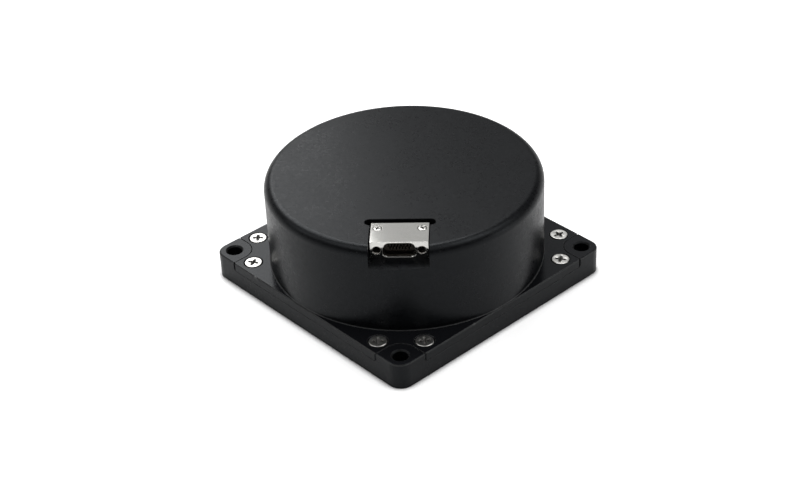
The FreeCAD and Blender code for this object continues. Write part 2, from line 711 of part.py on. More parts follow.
# ---------------------------------------------------------------- sensing coil
def make_shield_cup():
    """Annular can of soft magnetic sheet round the coil."""
    sheet_metal, low = size("shield_sheet"), size("base_floor")
    outer, inner = size("shield_radius"), size("channel_inner") + 0.3
    body = turned("shield_cup", [
        (inner, low), (outer, low), (outer, CAN_TOP), (outer - sheet_metal, CAN_TOP),
        (outer - sheet_metal, COIL_BOTTOM), (inner + sheet_metal, COIL_BOTTOM),
        (inner + sheet_metal, CAN_TOP), (inner, CAN_TOP)])
    drill(body, "CupHole", size("inner_thread") / 2 + SCREW_GAP, [(size("spool_bolts"), 0.0)],
          COIL_BOTTOM, sheet_metal, SIX)
    return body


def make_shield_lid():
    """Flat annular lid on the can, with a shallow stiffening step."""
    outer, inner = size("shield_radius"), size("channel_inner") + 0.3
    step = as_size(0.4)
    return turned("shield_lid", [
        (inner, CAN_TOP), (outer, CAN_TOP), (outer, CAN_TOP + size("shield_sheet")),
        (outer - 3, CAN_TOP + size("shield_sheet")), (outer - 4, CAN_TOP + size("shield_sheet") + step),
        (inner + 4, CAN_TOP + size("shield_sheet") + step), (inner + 3, CAN_TOP + size("shield_sheet")),
        (inner, CAN_TOP + size("shield_sheet"))])


def make_coil_spool():
    """Spool with two flanges and a fixing lip inside its hub."""
    low, high, flange = COIL_BOTTOM, COIL_TOP, size("spool_flange")
    hub, inside, rim = size("hub_outer"), size("hub_inner"), size("spool_radius")
    lip = low + 3
    body = turned("coil_spool", [
        (size("lip_radius"), low), (rim, low), (rim, low + flange), (hub, low + flange),
        (hub, high - flange), (rim, high - flange), (rim, high), (inside, high),
        (inside, lip + 0.5), (inside - 0.5, lip), (size("lip_radius"), lip)])
    drill(body, "SpoolHole", size("inner_thread") / 2 + SCREW_GAP, [(size("spool_bolts"), 0.0)],
          lip, as_size(3), SIX)
    return body


def make_fibre_coil():
    """The wound sensing fibre between the spool's flanges, its layers stepped at the rim."""
    low, high = COIL_BOTTOM + size("spool_flange"), COIL_TOP - size("spool_flange")
    hub, rim = size("hub_outer"), size("winding_radius")
    return turned("fibre_coil", [
        (hub, low), (rim - 0.6, low), (rim, low + 0.6), (rim, high - 0.6), (rim - 0.6, high),
        (hub, high)])


def make_coil_wrap():
    """Thermal tape round the winding."""
    low, high = COIL_BOTTOM + size("spool_flange") + 1, COIL_TOP - size("spool_flange") - 1
    rim = size("winding_radius")
    return turned("coil_wrap", [(rim, low), (rim + 0.4, low), (rim + 0.4, high), (rim, high)])


def make_spool_screws():
    master = pan_screw("SpoolScrew", size("inner_thread"), plain(size("inner_head")), as_size(6.5))
    return copies("spool_screws", master, ring_places(size("spool_bolts"), SIX, COIL_BOTTOM + 3))


# ---------------------------------------------------------------- optics
def make_tray_posts():
    """Four hexagonal posts, each with a stud in the base and a tapped top."""
    height = size("tray_bottom") - size("base_thickness")
    post = hexagon("PostBody", as_size(6), height, (0.0, 0.0, 0.0))
    stud = rod("PostStud", size("inner_thread") / 2 - SCREW_GAP, as_size(5.1), (0.0, 0.0, -5.0))
    tapped = rod("PostTapping", size("inner_thread") / 2, as_size(6), (0.0, 0.0, height - 6))
    master = without("PostMaster", joined("PostSolid", [post, stud]), [tapped])
    return copies("tray_posts", master,
                  ring_places(size("post_radius"), FOUR, size("base_thickness"), SQUARE_TURN))


def make_optics_tray():
    """Round tray whose walls keep the fibre on wide bends."""
    body = new_body("optics_tray")
    low, floor = size("tray_bottom"), TRAY_TOP
    grow(body, "Pad", circle(new_sketch(body, "TrayFloor", height=low), size("tray_radius")),
         size("tray_sheet"))
    rim = new_sketch(body, "TrayRim", height=floor)
    circle(circle(rim, size("tray_radius")), size("tray_radius") - size("tray_rim"))
    grow(body, "Pad", rim, size("tray_wall"))
    guide = new_sketch(body, "TrayGuide", height=floor)
    circle(circle(guide, size("guide_radius")), size("guide_radius") - size("guide_wall"))
    grow(body, "Pad", guide, size("tray_wall") - 1)
    # four gates let the fibre leads through the inner wall
    gate = new_sketch(body, "TrayGate", height=floor + size("tray_wall"))
    reach = size("guide_radius")
    half_gate = size("gate_width") / 2
    rectangle(gate, reach - half_gate, -half_gate, reach + 1, half_gate)
    pattern_round(body, cut(body, "Pocket", gate, size("tray_wall")), FOUR)
    opening = new_sketch(body, "TrayCentre", height=floor)
    circle(opening, size("tray_centre") / 2)
    cut(body, "Pocket", opening, size("tray_sheet"))
    drill(body, "TrayPostHole", size("inner_thread") / 2 + SCREW_GAP, [(size("post_radius"), 0.0)],
          floor, size("tray_sheet"), FOUR, SQUARE_TURN)
    drill(body, "TrayBoardHole", size("board_thread") / 2, [(size("standoff_radius"), 0.0)],
          floor, size("tray_sheet"), FOUR, SQUARE_TURN)
    return body


def make_tray_screws():
    master = pan_screw("TrayScrew", size("inner_thread"), plain(size("inner_head")), as_size(6))
    return copies("tray_screws", master,
                  ring_places(size("post_radius"), FOUR, TRAY_TOP, SQUARE_TURN))


def make_light_source():
    """Cooled light source module: a lidded case with fixing ears and a fibre snout."""
    x, floor = SOURCE_AT, TRAY_TOP + size("pad_sheet")
    case = block("SourceCase", (x - 6.35, -10.4, floor), (x + 6.35, 10.4, floor + 5.6))
    lid = block("SourceLid", (x - 5.8, -9.85, floor + 5.6), (x + 5.8, 9.85, floor + 6.1))
    ears = block("SourceEars", (x - 4.5, -12.6, floor), (x + 4.5, 12.6, floor + 1.2))
    snout = rod("SourceSnout", 1.1, as_size(4.2), (x, -10.3, TRAY_TOP + LEAD_HIGH), ALONG_MINUS_Y)
    pins = [block("SourcePin%d" % i, (x - 8.2, -8.9 + 2.54 * i, floor + 2.4),
                  (x + 8.2, -8.4 + 2.54 * i, floor + 2.65)) for i in range(8)]
    return joined("light_source", [case, lid, ears, snout] + pins)


def make_thermal_pad():
    x = SOURCE_AT
    return block("thermal_pad", (x - 6.0, -10.0, TRAY_TOP), (x + 6.0, 10.0, TRAY_TOP + size("pad_sheet")))


def make_phase_modulator():
    """Integrated-optics chip in a long case with a fibre snout at each end."""
    y = MODULATOR_AT
    case = block("ModulatorCase", (-15.0, y - 4.0, TRAY_TOP), (15.0, y + 4.0, TRAY_TOP + 4.6))
    lid = block("ModulatorLid", (-14.4, y - 3.4, TRAY_TOP + 4.6), (14.4, y + 3.4, TRAY_TOP + 5.0))
    snout = rod("ModulatorSnouts", 1.0, as_size(36), (-18.0, y, TRAY_TOP + LEAD_HIGH), ALONG_X)
    return joined("phase_modulator", [case, lid, snout])


def make_fibre_coupler():
    """Fused fibre coupler in a steel tube, held by a clip."""
    x = COUPLER_AT
    tube = rod("CouplerTube", 1.5, as_size(40), (x, 20.0, TRAY_TOP + 1.5), ALONG_MINUS_Y)
    clip = block("CouplerClip", (x - 2.2, -4.0, TRAY_TOP), (x + 2.2, 4.0, TRAY_TOP + 3.4))
    return joined("fibre_coupler", [tube, clip])


def make_photodetector():
    """Detector can with a fibre pigtail boot and three pins."""
    y = -MODULATOR_AT
    height = TRAY_TOP + LEAD_HIGH
    can = rod("DetectorCan", 2.8, as_size(9), (-6.0, y, height), ALONG_X)
    flange = rod("DetectorFlange", 2.84, as_size(1), (-6.9, y, height), ALONG_X)
    boot = rod("DetectorBoot", 1.0, as_size(8), (2.9, y, height), ALONG_X)
    pins = [rod("DetectorPin%d" % i, 0.25, as_size(4), (-10.8, y - 1.27 + 1.27 * i, height), ALONG_X)
            for i in range(3)]
    return joined("photodetector", [can, flange, boot] + pins)


def make_fibre_loops():
    """Spare fibre lying in the tray's outer channel, its turns laced into one bundle."""
    reach, low, half, edge = size("loop_radius"), TRAY_TOP, 1.2, 0.5
    return turned("fibre_loops", [
        (reach - edge, low), (reach + edge, low), (reach + half, low + half - edge),
        (reach + half, low + half + edge), (reach + edge, low + 2 * half),
        (reach - edge, low + 2 * half), (reach - half, low + half + edge),
        (reach - half, low + half - edge)])


def make_fibre_leads():
    """Sleeved fibres from each optical part to the loops, each on a wide bend."""
    high, low = plain(TRAY_TOP) + LEAD_HIGH, plain(TRAY_TOP) + 1.5
    y, x = MODULATOR_AT, COUPLER_AT
    routes = [
        (high, [(SOURCE_AT, -14.5), (SOURCE_AT, -24.0), (-4.0, -50.3)]),
        (high, [(-18.0, y), (-31.0, y), (-50.2, 5.0)]),
        (high, [(18.0, y), (31.0, y), (50.2, 5.0)]),
        (low, [(x, 20.0), (x, 32.0), (4.0, 48.55)]),
        (low, [(x, -20.0), (x, -32.0), (4.0, -48.55)]),
        (high, [(10.9, -y), (31.0, -y), (50.2, -5.0)])]
    leads = []
    for i, (z, route) in enumerate(routes):
        points = [Vector(px, py, z) for px, py in route]
        leads.append(tube_along("FibreLead%d" % i, 0.45, points, 12.0))
    group = doc.addObject("Part::Compound", "fibre_leads")
    group.Links = leads
    return group


# ---------------------------------------------------------------- control board
def make_board_standoffs():
    height = size("board_bottom") - TRAY_TOP
    post = hexagon("StandoffBody", as_size(5), height, (0.0, 0.0, 0.0))
    stud = rod("StandoffStud", size("board_thread") / 2 - SCREW_GAP, size("tray_sheet"),
               (0.0, 0.0, -size("tray_sheet") + 0.05))
    tapped = rod("StandoffTapping", size("board_thread") / 2, as_size(5), (0.0, 0.0, height - 5))
    master = without("StandoffMaster", joined("StandoffSolid", [post, stud]), [tapped])
    return copies("board_standoffs", master,
                  ring_places(size("standoff_radius"), FOUR, TRAY_TOP, SQUARE_TURN))


def make_control_board():
    body = new_body("control_board")
    disc = circle(new_sketch(body, "BoardDisc", height=size("board_bottom")), size("board_radius"))
    grow(body, "Pad", disc, size("board_sheet"))
    notch = new_sketch(body, "BoardNotch", height=BOARD_TOP)
    circle(notch, 5.0, 0.0, size("board_radius"))
    cut(body, "Pocket", notch, size("board_sheet"))
    drill(body, "BoardHole", size("board_thread") / 2 + SCREW_GAP, [(size("standoff_radius"), 0.0)],
          BOARD_TOP, size("board_sheet"), FOUR, SQUARE_TURN)
    return body


def make_board_screws():
    master = pan_screw("BoardScrew", size("board_thread"), 4.8, as_size(5))
    return copies("board_screws", master,
                  ring_places(size("standoff_radius"), FOUR, BOARD_TOP, SQUARE_TURN))


def chip(name, x, y, wide, deep, tall, leads_x, leads_y):
    """A chip on the board with flat leads along its sides."""
    bottom = BOARD_TOP + 0.1
    members = [block(name + "Case", (x - wide / 2, y - deep / 2, bottom),
                     (x + wide / 2, y + deep / 2, bottom + tall))]
    for i in range(leads_x):
        at_y = y - deep / 2 + deep * (i + 0.5) / leads_x
        members.append(lead_pair("%sLeadX%d" % (name, i), x, at_y, wide / 2 + CHIP_LEAD, 0.2))
    for i in range(leads_y):
        at_x = x - wide / 2 + wide * (i + 0.5) / leads_y
        members.append(lead_pair("%sLeadY%d" % (name, i), at_x, y, 0.2, deep / 2 + CHIP_LEAD))
    return joined(name, members)


def lead_pair(name, x, y, half_x, half_y):
    """Two opposite leads, made as one flat bar that passes through the case."""
    return block(name, (x - half_x, y - half_y, BOARD_TOP),
                 (x + half_x, y + half_y, BOARD_TOP + 0.25))


def make_processor_chip():
    return chip("processor_chip", 0.0, 6.0, 20.0, 20.0, 1.5, 8, 8)


def make_converter_chips():
    group = doc.addObject("Part::Compound", "converter_chips")
    group.Links = [chip("Converter%d" % i, x, 6.0, 9.0, 9.0, 1.2, 5, 0)
                   for i, x in enumerate((-24.0, 24.0))]
    return group


def make_driver_chips():
    group = doc.addObject("Part::Compound", "driver_chips")
    group.Links = [chip("Driver%d" % i, x, -16.0, 7.5, 10.3, 2.2, 6, 0)
                   for i, x in enumerate((-24.0, 24.0))]
    return group


def make_capacitors():
    group = doc.addObject("Part::Compound", "capacitors")
    cans = []
    for i, x in enumerate((-22.0, -7.5, 7.5, 22.0)):
        foot = block("CapacitorFoot%d" % i, (x - 3.3, 30.7, BOARD_TOP), (x + 3.3, 37.3, BOARD_TOP + 0.8))
        can = rod("CapacitorCan%d" % i, 3.15, as_size(7), (x, 34.0, BOARD_TOP + 0.7))
        cans.append(joined("Capacitor%d" % i, [foot, can]))
    group.Links = cans
    return group


def make_timing_crystal():
    return block("timing_crystal", (-5.5, 22.0, BOARD_TOP), (5.5, 26.7, BOARD_TOP + 3.5))


def make_board_header():
    """Socket on the board for the connector's flexible lead."""
    case = block("HeaderCase", (-8.0, -30.0, BOARD_TOP), (8.0, -25.0, BOARD_TOP + 3))
    entry = block("HeaderSlot", (-LEAD_SIDE - 0.1, -30.5, LEAD_LOW - 0.05),
                  (LEAD_SIDE + 0.1, -26.5, LEAD_LOW + LEAD_SHEET + 0.05))
    return without("board_header", case, [entry])


# ---------------------------------------------------------------- connector
def make_connector_lead():
    """Flexible printed lead from the contact tails to the board's header."""
    body = new_body("connector_lead")
    profile = new_sketch(body, "LeadProfile", "YZ_Plane", height=-LEAD_SIDE)
    drop = TAIL_END - LEAD_SHEET
    polygon(profile, [(TAIL_FRONT, drop), (-36.0, drop), (-33.0, LEAD_LOW), (-26.6, LEAD_LOW),
                      (-26.6, LEAD_LOW + LEAD_SHEET), (-33.0, LEAD_LOW + LEAD_SHEET),
                      (-36.0, TAIL_END), (TAIL_FRONT, TAIL_END)])
    grow(body, "Pad", profile, as_size(2 * LEAD_SIDE))
    return body


def make_connector_contacts():
    """Fifteen right-angle pins: eight in the upper row and seven below."""
    upper = contact("UpperContact", PLUG_MIDDLE + 0.6, -42.6)
    lower = contact("LowerContact", PLUG_MIDDLE - 0.6, -44.4)
    pitch = plain(size("contact_pitch"))
    doc.recompute()
    group = doc.addObject("Part::Feature", "connector_contacts")
    shapes = []
    for master, count in ((upper, 8), (lower, 7)):
        for i in range(count):
            shape = master.Shape.copy()
            shape.translate(Vector(pitch * (i - (count - 1) / 2), 0, 0))
            shapes.append(shape)
    group.Shape = Part.makeCompound(shapes)
    return group


def contact(name, height, tail_y):
    """One pin: a rounded tip in the shell, back through the insulator and down its tail."""
    radius = size("contact_pin") / 2
    tip = CONTACT_TIP
    nose = doc.addObject("Part::Cone", name + "Tip")
    nose.Placement = Placement(Vector(0, 0, 0), ALONG_Y)
    set_size(nose, "Radius1", radius * 0.4)
    set_size(nose, "Radius2", radius)
    set_size(nose, "Height", as_size(0.3))
    set_size(nose, "Placement.Base.y", tip)
    set_size(nose, "Placement.Base.z", height)
    pin = rod(name + "Pin", radius, tail_y + radius - (tip + 0.3), (0.0, tip + 0.3, height), ALONG_Y)
    tail = rod(name + "Tail", radius, height + radius - TAIL_END, (0.0, tail_y, TAIL_END))
    return joined(name, [nose, pin, tail])


def make_connector_insulator(contacts):
    """Moulded block that holds the contacts, its nose standing in the D opening."""
    front = SHROUD_BACK
    rear = block("InsulatorBlock", (-VOID_SIDE + 0.05, front, size("bay_floor") + 0.1),
                 (VOID_SIDE - 0.05, VOID_BACK - 0.05, VOID_TOP - 0.05))
    nose = new_body("InsulatorNose")
    sketch = polygon(new_sketch(nose, "NoseOutline", "XZ_Plane"), d_corners(NOSE_INSET))
    grow_along_y(nose, sketch, front - 0.9, 1.0)
    dress(nose, "Fillet", "NoseCorners", size("shroud_corner") - NOSE_INSET,
          lambda e: is_d_corner(e, NOSE_INSET))
    return without("connector_insulator", joined("InsulatorSolid", [rear, nose]), [contacts])


def d_corners(inset):
    """Corners of the D-shaped opening, its longer side down; inset shrinks it."""
    top = SHROUD_MIDDLE + size("shroud_height") / 2 - inset
    low = SHROUD_MIDDLE - size("shroud_height") / 2 + inset
    wide = size("shroud_wide") / 2 - inset
    narrow = size("shroud_narrow") / 2 - inset
    return [(-wide, low), (wide, low), (narrow, top), (-narrow, top)]


def is_d_corner(edge, inset):
    """Whether an edge runs along Y at one of the opening's corners."""
    box, point = edge.BoundBox, middle(edge)
    along_y = box.XLength < 0.01 and box.ZLength < 0.01
    return along_y and any(near(point.x, x) and near(point.z, z) for x, z in d_corners(inset))


def grow_along_y(body, sketch, start, length):
    """Pads a sketch that stands on the XZ plane from one place along Y."""
    set_size(sketch, "AttachmentOffset.Base.z", as_size(0.0) - start)
    pad = grow(body, "Pad", sketch, as_size(length))
    pad.Reversed = True
    doc.recompute()
    return pad


def make_connector_shell():
    """Metal block of the connector with its D opening, jack bores and screw seats."""
    body = new_body("connector_shell")
    side = size("plug_width") / 2
    plan = new_sketch(body, "ShellPlan", height=size("bay_floor"))
    rectangle(plan, -side, -size("plug_face"), side, PLUG_BACK)
    grow(body, "Pad", plan, size("plug_height"))
    dress(body, "Chamfer", "ShellEdges", as_size(0.15),
          lambda e: is_level(e, PLUG_TOP) or is_upright(e, size("bay_floor"), PLUG_TOP))
    opening = new_sketch(body, "Shroud", "XZ_Plane", height=size("plug_face") + 1)
    cut(body, "Pocket", polygon(opening, d_corners(0.0)), size("shroud_depth") + 1)
    dress(body, "Fillet", "ShroudCorners", size("shroud_corner"), lambda e: is_d_corner(e, 0.0))
    void = new_sketch(body, "InsulatorSeat", height=size("bay_floor"))
    rectangle(void, -VOID_SIDE, SHROUD_BACK, VOID_SIDE, VOID_BACK)
    seat = body.newObject("PartDesign::Pocket", "InsulatorSeatPocket")
    seat.Profile = void
    seat.Reversed = True
    set_size(seat, "Length", VOID_TOP - size("bay_floor"))
    bores = new_sketch(body, "JackBores", "XZ_Plane", height=size("plug_face"))
    circle(circle(bores, size("jack_bore") / 2, JACK_AT, PLUG_MIDDLE), size("jack_bore") / 2,
           -JACK_AT, PLUG_MIDDLE)
    cut(body, "Pocket", bores, size("jack_length"))
    spots = [(JACK_AT, PLUG_SCREW_AT), (-JACK_AT, PLUG_SCREW_AT)]
    drill(body, "ShellScrewHole", size("plug_thread") / 2 + SCREW_GAP, spots, PLUG_TOP,
          size("plug_height"), 1)
    drill(body, "ShellScrewSeat", size("plug_screw_seat") / 2, spots, PLUG_TOP, as_size(1.1), 1)
    return body


def make_jack_inserts():
    """Two threaded sockets for the plug's screws."""
    length = size("jack_length")
    barrel = rod("JackBarrel", size("jack_bore") / 2 - 0.02, length, (0.0, 0.0, 0.0), ALONG_Y)
    thread = rod("JackThread", size("jack_thread") / 2, length - 0.5, (0.0, -0.01, 0.0), ALONG_Y)
    mouth = doc.addObject("Part::Cone", "JackMouth")
    mouth.Placement = Placement(Vector(0, -0.01, 0), ALONG_Y)
    set_size(mouth, "Radius1", size("jack_bore") / 2 - 0.25)
    set_size(mouth, "Radius2", size("jack_thread") / 2)
    set_size(mouth, "Height", as_size(0.5))
    master = without("JackMaster", barrel, [thread, mouth])
    face = -plain(size("plug_face"))
    return copies("jack_inserts", master,
                  [at(JACK_AT, face, PLUG_MIDDLE), at(-JACK_AT, face, PLUG_MIDDLE)])


def make_connector_screws():
    master = pan_screw("ConnectorScrew", size("plug_thread"), 3.8, as_size(9.0))
    seat = PLUG_TOP - 1.1
    return copies("connector_screws", master,
                  [at(JACK_AT, PLUG_SCREW_AT, seat, 24.0), at(-JACK_AT, PLUG_SCREW_AT, seat, 71.0)])


def make_connector_potting(contacts):
    """Resin that seals the contact tails into the bay's floor."""
    floor = size("bay_floor")
    resin = block("PottingBlock", (-TAIL_SIDE + 0.01, TAIL_FRONT + 0.01, floor - size("bay_plate")),
                  (TAIL_SIDE - 0.01, TAIL_BACK - 0.01, floor + 0.05))
    return without("connector_potting", resin, [contacts])


# ---------------------------------------------------------------- build and write
def build_parts():
    contacts = make_connector_contacts()
    return [
        make_base_plate(), make_housing_cover(), make_cover_screws(), make_cover_seal(),
        make_shield_cup(), make_shield_lid(), make_coil_spool(), make_fibre_coil(),
        make_coil_wrap(), make_spool_screws(), make_tray_posts(), make_optics_tray(),
        make_tray_screws(), make_light_source(), make_thermal_pad(), make_phase_modulator(),
        make_fibre_coupler(), make_photodetector(), make_fibre_loops(), make_fibre_leads(),
        make_board_standoffs(), make_control_board(), make_board_screws(),
        make_processor_chip(), make_converter_chips(), make_driver_chips(), make_capacitors(),
        make_timing_crystal(), make_board_header(), make_connector_lead(), contacts,
        make_connector_insulator(contacts), make_connector_shell(), make_jack_inserts(),
        make_connector_screws(), make_connector_potting(contacts)]


def check_document():
    for thing in doc.Objects:
        if "Invalid" in thing.State or "Error" in thing.State:
            raise RuntimeError("%s failed: %s" % (thing.Label, thing.State))


def write_parts(parts):
    os.makedirs("parts", exist_ok=True)
    for part in parts:
        if part.Shape.isNull() or not part.Shape.isValid():
            raise RuntimeError(part.Label + " has no valid shape")
    for part in parts:
        part.Shape.exportStep("parts/%s.step" % part.Label)
        box = part.Shape.BoundBox
        print("%-20s %d solid(s), %.1f x %.1f x %.1f mm" % (
            part.Label, len(part.Shape.Solids), box.XLength, box.YLength, box.ZLength))


parts = build_parts()
doc.recompute()
check_document()
write_parts(parts)
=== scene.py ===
"""Finishes, small hardware, studio and camera for a single-axis fibre-optic rate sensor.

A matt black drum stands on a square black base.  The frame's solids keep their
shapes, but for the cover screws and the connector's shell, jack sockets and screws,
which are modelled here in finer detail, in the same places.
"""
import json
import math

import bmesh
import bpy
from mathutils import Matrix, Vector


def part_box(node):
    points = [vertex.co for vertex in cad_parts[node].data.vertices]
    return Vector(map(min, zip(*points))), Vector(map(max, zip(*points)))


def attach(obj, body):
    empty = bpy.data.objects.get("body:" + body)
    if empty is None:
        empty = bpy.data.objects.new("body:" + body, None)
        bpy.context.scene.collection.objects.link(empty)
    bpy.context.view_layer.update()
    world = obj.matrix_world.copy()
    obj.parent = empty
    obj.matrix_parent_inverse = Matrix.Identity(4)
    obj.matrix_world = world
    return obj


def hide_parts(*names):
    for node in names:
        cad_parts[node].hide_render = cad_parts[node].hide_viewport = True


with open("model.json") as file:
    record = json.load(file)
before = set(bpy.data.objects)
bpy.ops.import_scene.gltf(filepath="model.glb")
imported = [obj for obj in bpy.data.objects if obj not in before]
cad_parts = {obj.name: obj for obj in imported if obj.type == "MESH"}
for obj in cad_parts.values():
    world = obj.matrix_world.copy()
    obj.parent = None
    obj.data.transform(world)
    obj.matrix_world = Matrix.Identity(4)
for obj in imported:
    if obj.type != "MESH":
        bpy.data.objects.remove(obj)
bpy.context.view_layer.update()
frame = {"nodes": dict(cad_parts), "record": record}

bl_info = {
    "name": "Gyroscope Dressing",
    "version": (1, 0, 0),
    "blender": (4, 5, 0),
    "location": "View3D > Sidebar > Gyroscope",
    "description": "Gives the gyroscope its finishes, small hardware and studio",
    "category": "Object",
}

MM = 0.001
BODY = "root"


# ------------------------------------------------------------ places in the frame
def node_box(node):
    """The lowest and the highest corner of a node's box."""
    low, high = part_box(node)
    return Vector(low), Vector(high)


BASE_HIGH = node_box("base_plate")[1]
SCREWS_HIGH = node_box("cover_screws")[1]
SHELL_LOW, SHELL_HIGH = node_box("connector_shell")
JACKS_LOW, JACKS_HIGH = node_box("jack_inserts")
HOLDERS_LOW, HOLDERS_HIGH = node_box("connector_screws")

# the base's corners lie on the X and Y axes, so its side follows from its reach
CORNER_RADIUS = 6.0 * MM
BASE_SIDE = (BASE_HIGH.x - CORNER_RADIUS) * math.sqrt(2) + 2 * CORNER_RADIUS
HOLE_INSET = 6.5 * MM  # a mounting hole's middle from each of its two sides
HOLE_AT = (BASE_SIDE / 2 - HOLE_INSET) * math.sqrt(2)  # and from the base's middle
FLANGE_TOP = 11.9 * MM
CHAMFER_LEAN = math.sqrt(0.5)  # upward part of the normal of a chamfer at 45 degrees

# cover screws, two beside each corner of the base
SCREW_HEAD = 7.62 * MM
SCREW_RIM = 0.6 * MM  # the straight side of the head above its cone
SCREW_SHANK_RADIUS = 1.95 * MM
SCREW_LENGTH = 10.0 * MM
SCREW_PITCH = 0.7 * MM
SCREW_INSET = 6.4 * MM  # from the nearer side of the base
SCREW_ALONG = 40.2 * MM  # along that side from its middle
SCREW_TOP = SCREWS_HIGH.z - 0.08 * MM
SCREW_TURNS = (12, 63, 2, -17, 3, 10, -12, 36)  # each cover screw's cross, in degrees

# jack sockets on both sides of the connector's D opening
JACK_RADIUS = (JACKS_HIGH.z - JACKS_LOW.z) / 2
JACK_BORE = 1.45 * MM  # radius at the thread's crests
JACK_PITCH = 0.45 * MM
JACK_AT = JACKS_HIGH.x - JACK_RADIUS
JACK_LENGTH = JACKS_HIGH.y - JACKS_LOW.y
PLUG_MIDDLE = (JACKS_HIGH.z + JACKS_LOW.z) / 2

# the two screws that hold the connector down
HOLDER_HEAD = 1.9 * MM  # radius
HOLDER_SHANK = 0.95 * MM  # radius
HOLDER_PITCH = 0.4 * MM
HOLDER_Y = (HOLDERS_HIGH.y + HOLDERS_LOW.y) / 2
HOLDER_SEAT = HOLDERS_HIGH.z - 1.3 * MM
HOLDER_SINK = 1.96 * MM  # radius of the sunk seat
HOLDER_TURNS = {1: 24, -1: 71}  # the cross on the right and on the left, in degrees

# the D opening, wide side down, and the hollow behind it
D_WIDE, D_NARROW, D_HEIGHT, D_CORNER = 15.3 * MM, 10.8 * MM, 6.2 * MM, 2.1 * MM
D_MIDDLE = 46.08 * MM
D_BROKEN_EDGE = 0.32 * MM
D_DEPTH = 6 * MM
VOID_LOW = Vector((-7.0 * MM, SHELL_LOW.y + 4.2 * MM, SHELL_LOW.z - 1 * MM))
VOID_HIGH = Vector((7.0 * MM, SHELL_LOW.y + 10.8 * MM, 48.8 * MM))
CUT_PAST = 1 * MM  # how far a cutter reaches out of the face that it cuts


# ------------------------------------------------------------ what a user can set
class CameraSettings(bpy.types.PropertyGroup):
    """Where the camera stands."""
    azimuth: bpy.props.FloatProperty(
        name="Azimuth", description="Turn about the vertical, from straight in front",
        default=math.radians(3.786), subtype="ANGLE")
    elevation: bpy.props.FloatProperty(
        name="Elevation", description="Height above the horizon",
        default=math.radians(34.318), subtype="ANGLE")
    roll: bpy.props.FloatProperty(
        name="Roll", description="Tilt of the horizon",
        default=math.radians(-2.787), subtype="ANGLE")
    distance: bpy.props.FloatProperty(
        name="Distance", description="Camera to the drum's middle", default=0.736306,
        subtype="DISTANCE", unit="LENGTH")
    slide_right: bpy.props.FloatProperty(
        name="Slide right", description="Sideways offset of the camera", default=-0.002520,
        subtype="DISTANCE", unit="LENGTH")
    slide_up: bpy.props.FloatProperty(
        name="Slide up", description="Upward offset of the camera", default=-0.010749,
        subtype="DISTANCE", unit="LENGTH")
    lens: bpy.props.FloatProperty(
        name="Lens", description="Focal length in millimetres", default=76.772, min=10.0)


class StudioSettings(bpy.types.PropertyGroup):
    """Floor, world and lamps."""
    floor_colour: bpy.props.FloatVectorProperty(
        name="Floor", description="Colour of the floor", size=4, subtype="COLOR",
        default=(0.90, 0.90, 0.90, 1.0), min=0.0, max=1.0)
    floor_glow: bpy.props.FloatProperty(
        name="Floor whiteness", description="Lifts the floor to white where it is seen",
        default=0.62, min=0.0, max=1.0)
    # reach of the contact shadow painted into the floor's glow
    contact_reach: bpy.props.FloatProperty(
        name="Contact reach", description="How far the dark line under the object spreads",
        default=3.5 * MM, subtype="DISTANCE", unit="LENGTH")
    world_level: bpy.props.FloatProperty(
        name="World level", description="Light from all round", default=0.089, min=0.0)
    key_level: bpy.props.FloatProperty(
        name="Key lamp", description="Power of the near lamp behind on the left, in watts",
        default=0.307, min=0.0)
    low_level: bpy.props.FloatProperty(
        name="Low lamps", description="Strength of the lamps behind and on the right",
        default=1.0, min=0.0)
    high_level: bpy.props.FloatProperty(
        name="High lamps", description="Strength of the ring of lamps overhead",
        default=1.0, min=0.0)


class AnodisingSettings(bpy.types.PropertyGroup):
    """Black anodised aluminium."""
    colour: bpy.props.FloatVectorProperty(
        name="Colour", description="Colour of the dyed oxide", size=4, subtype="COLOR",
        default=(0.0036, 0.0038, 0.0045, 1.0), min=0.0, max=1.0)
    roughness: bpy.props.FloatProperty(
        name="Roughness", description="Roughness of the blasted surface", default=0.33,
        min=0.0, max=1.0)
    grain: bpy.props.FloatProperty(
        name="Grain", description="Width of one blasting dimple", default=0.22 * MM,
        subtype="DISTANCE", unit="LENGTH")
    grain_height: bpy.props.FloatProperty(
        name="Grain height", description="Depth of the blasting dimples", default=0.012 * MM,
        subtype="DISTANCE", unit="LENGTH")
    milled_roughness: bpy.props.FloatProperty(
        name="Milled roughness", description="Roughness of the milled flats of flange and base",
        default=0.175, min=0.0, max=1.0)
    wear_width: bpy.props.FloatProperty(
        name="Wear width", description="Reach of the rubbed edges", default=0.3 * MM,
        subtype="DISTANCE", unit="LENGTH")
    # sets the level of the thin rub along outside edges and of the painted highlight on chamfers
    thin_rub_and_highlight: bpy.props.FloatProperty(
        name="Thin rub", description="How far every outside edge is rubbed", default=0.22,
        min=0.0, max=1.0)
    bare_amount: bpy.props.FloatProperty(
        name="Bare stretches", description="Share of the edges rubbed down to the metal",
        default=0.38, min=0.0, max=1.0)


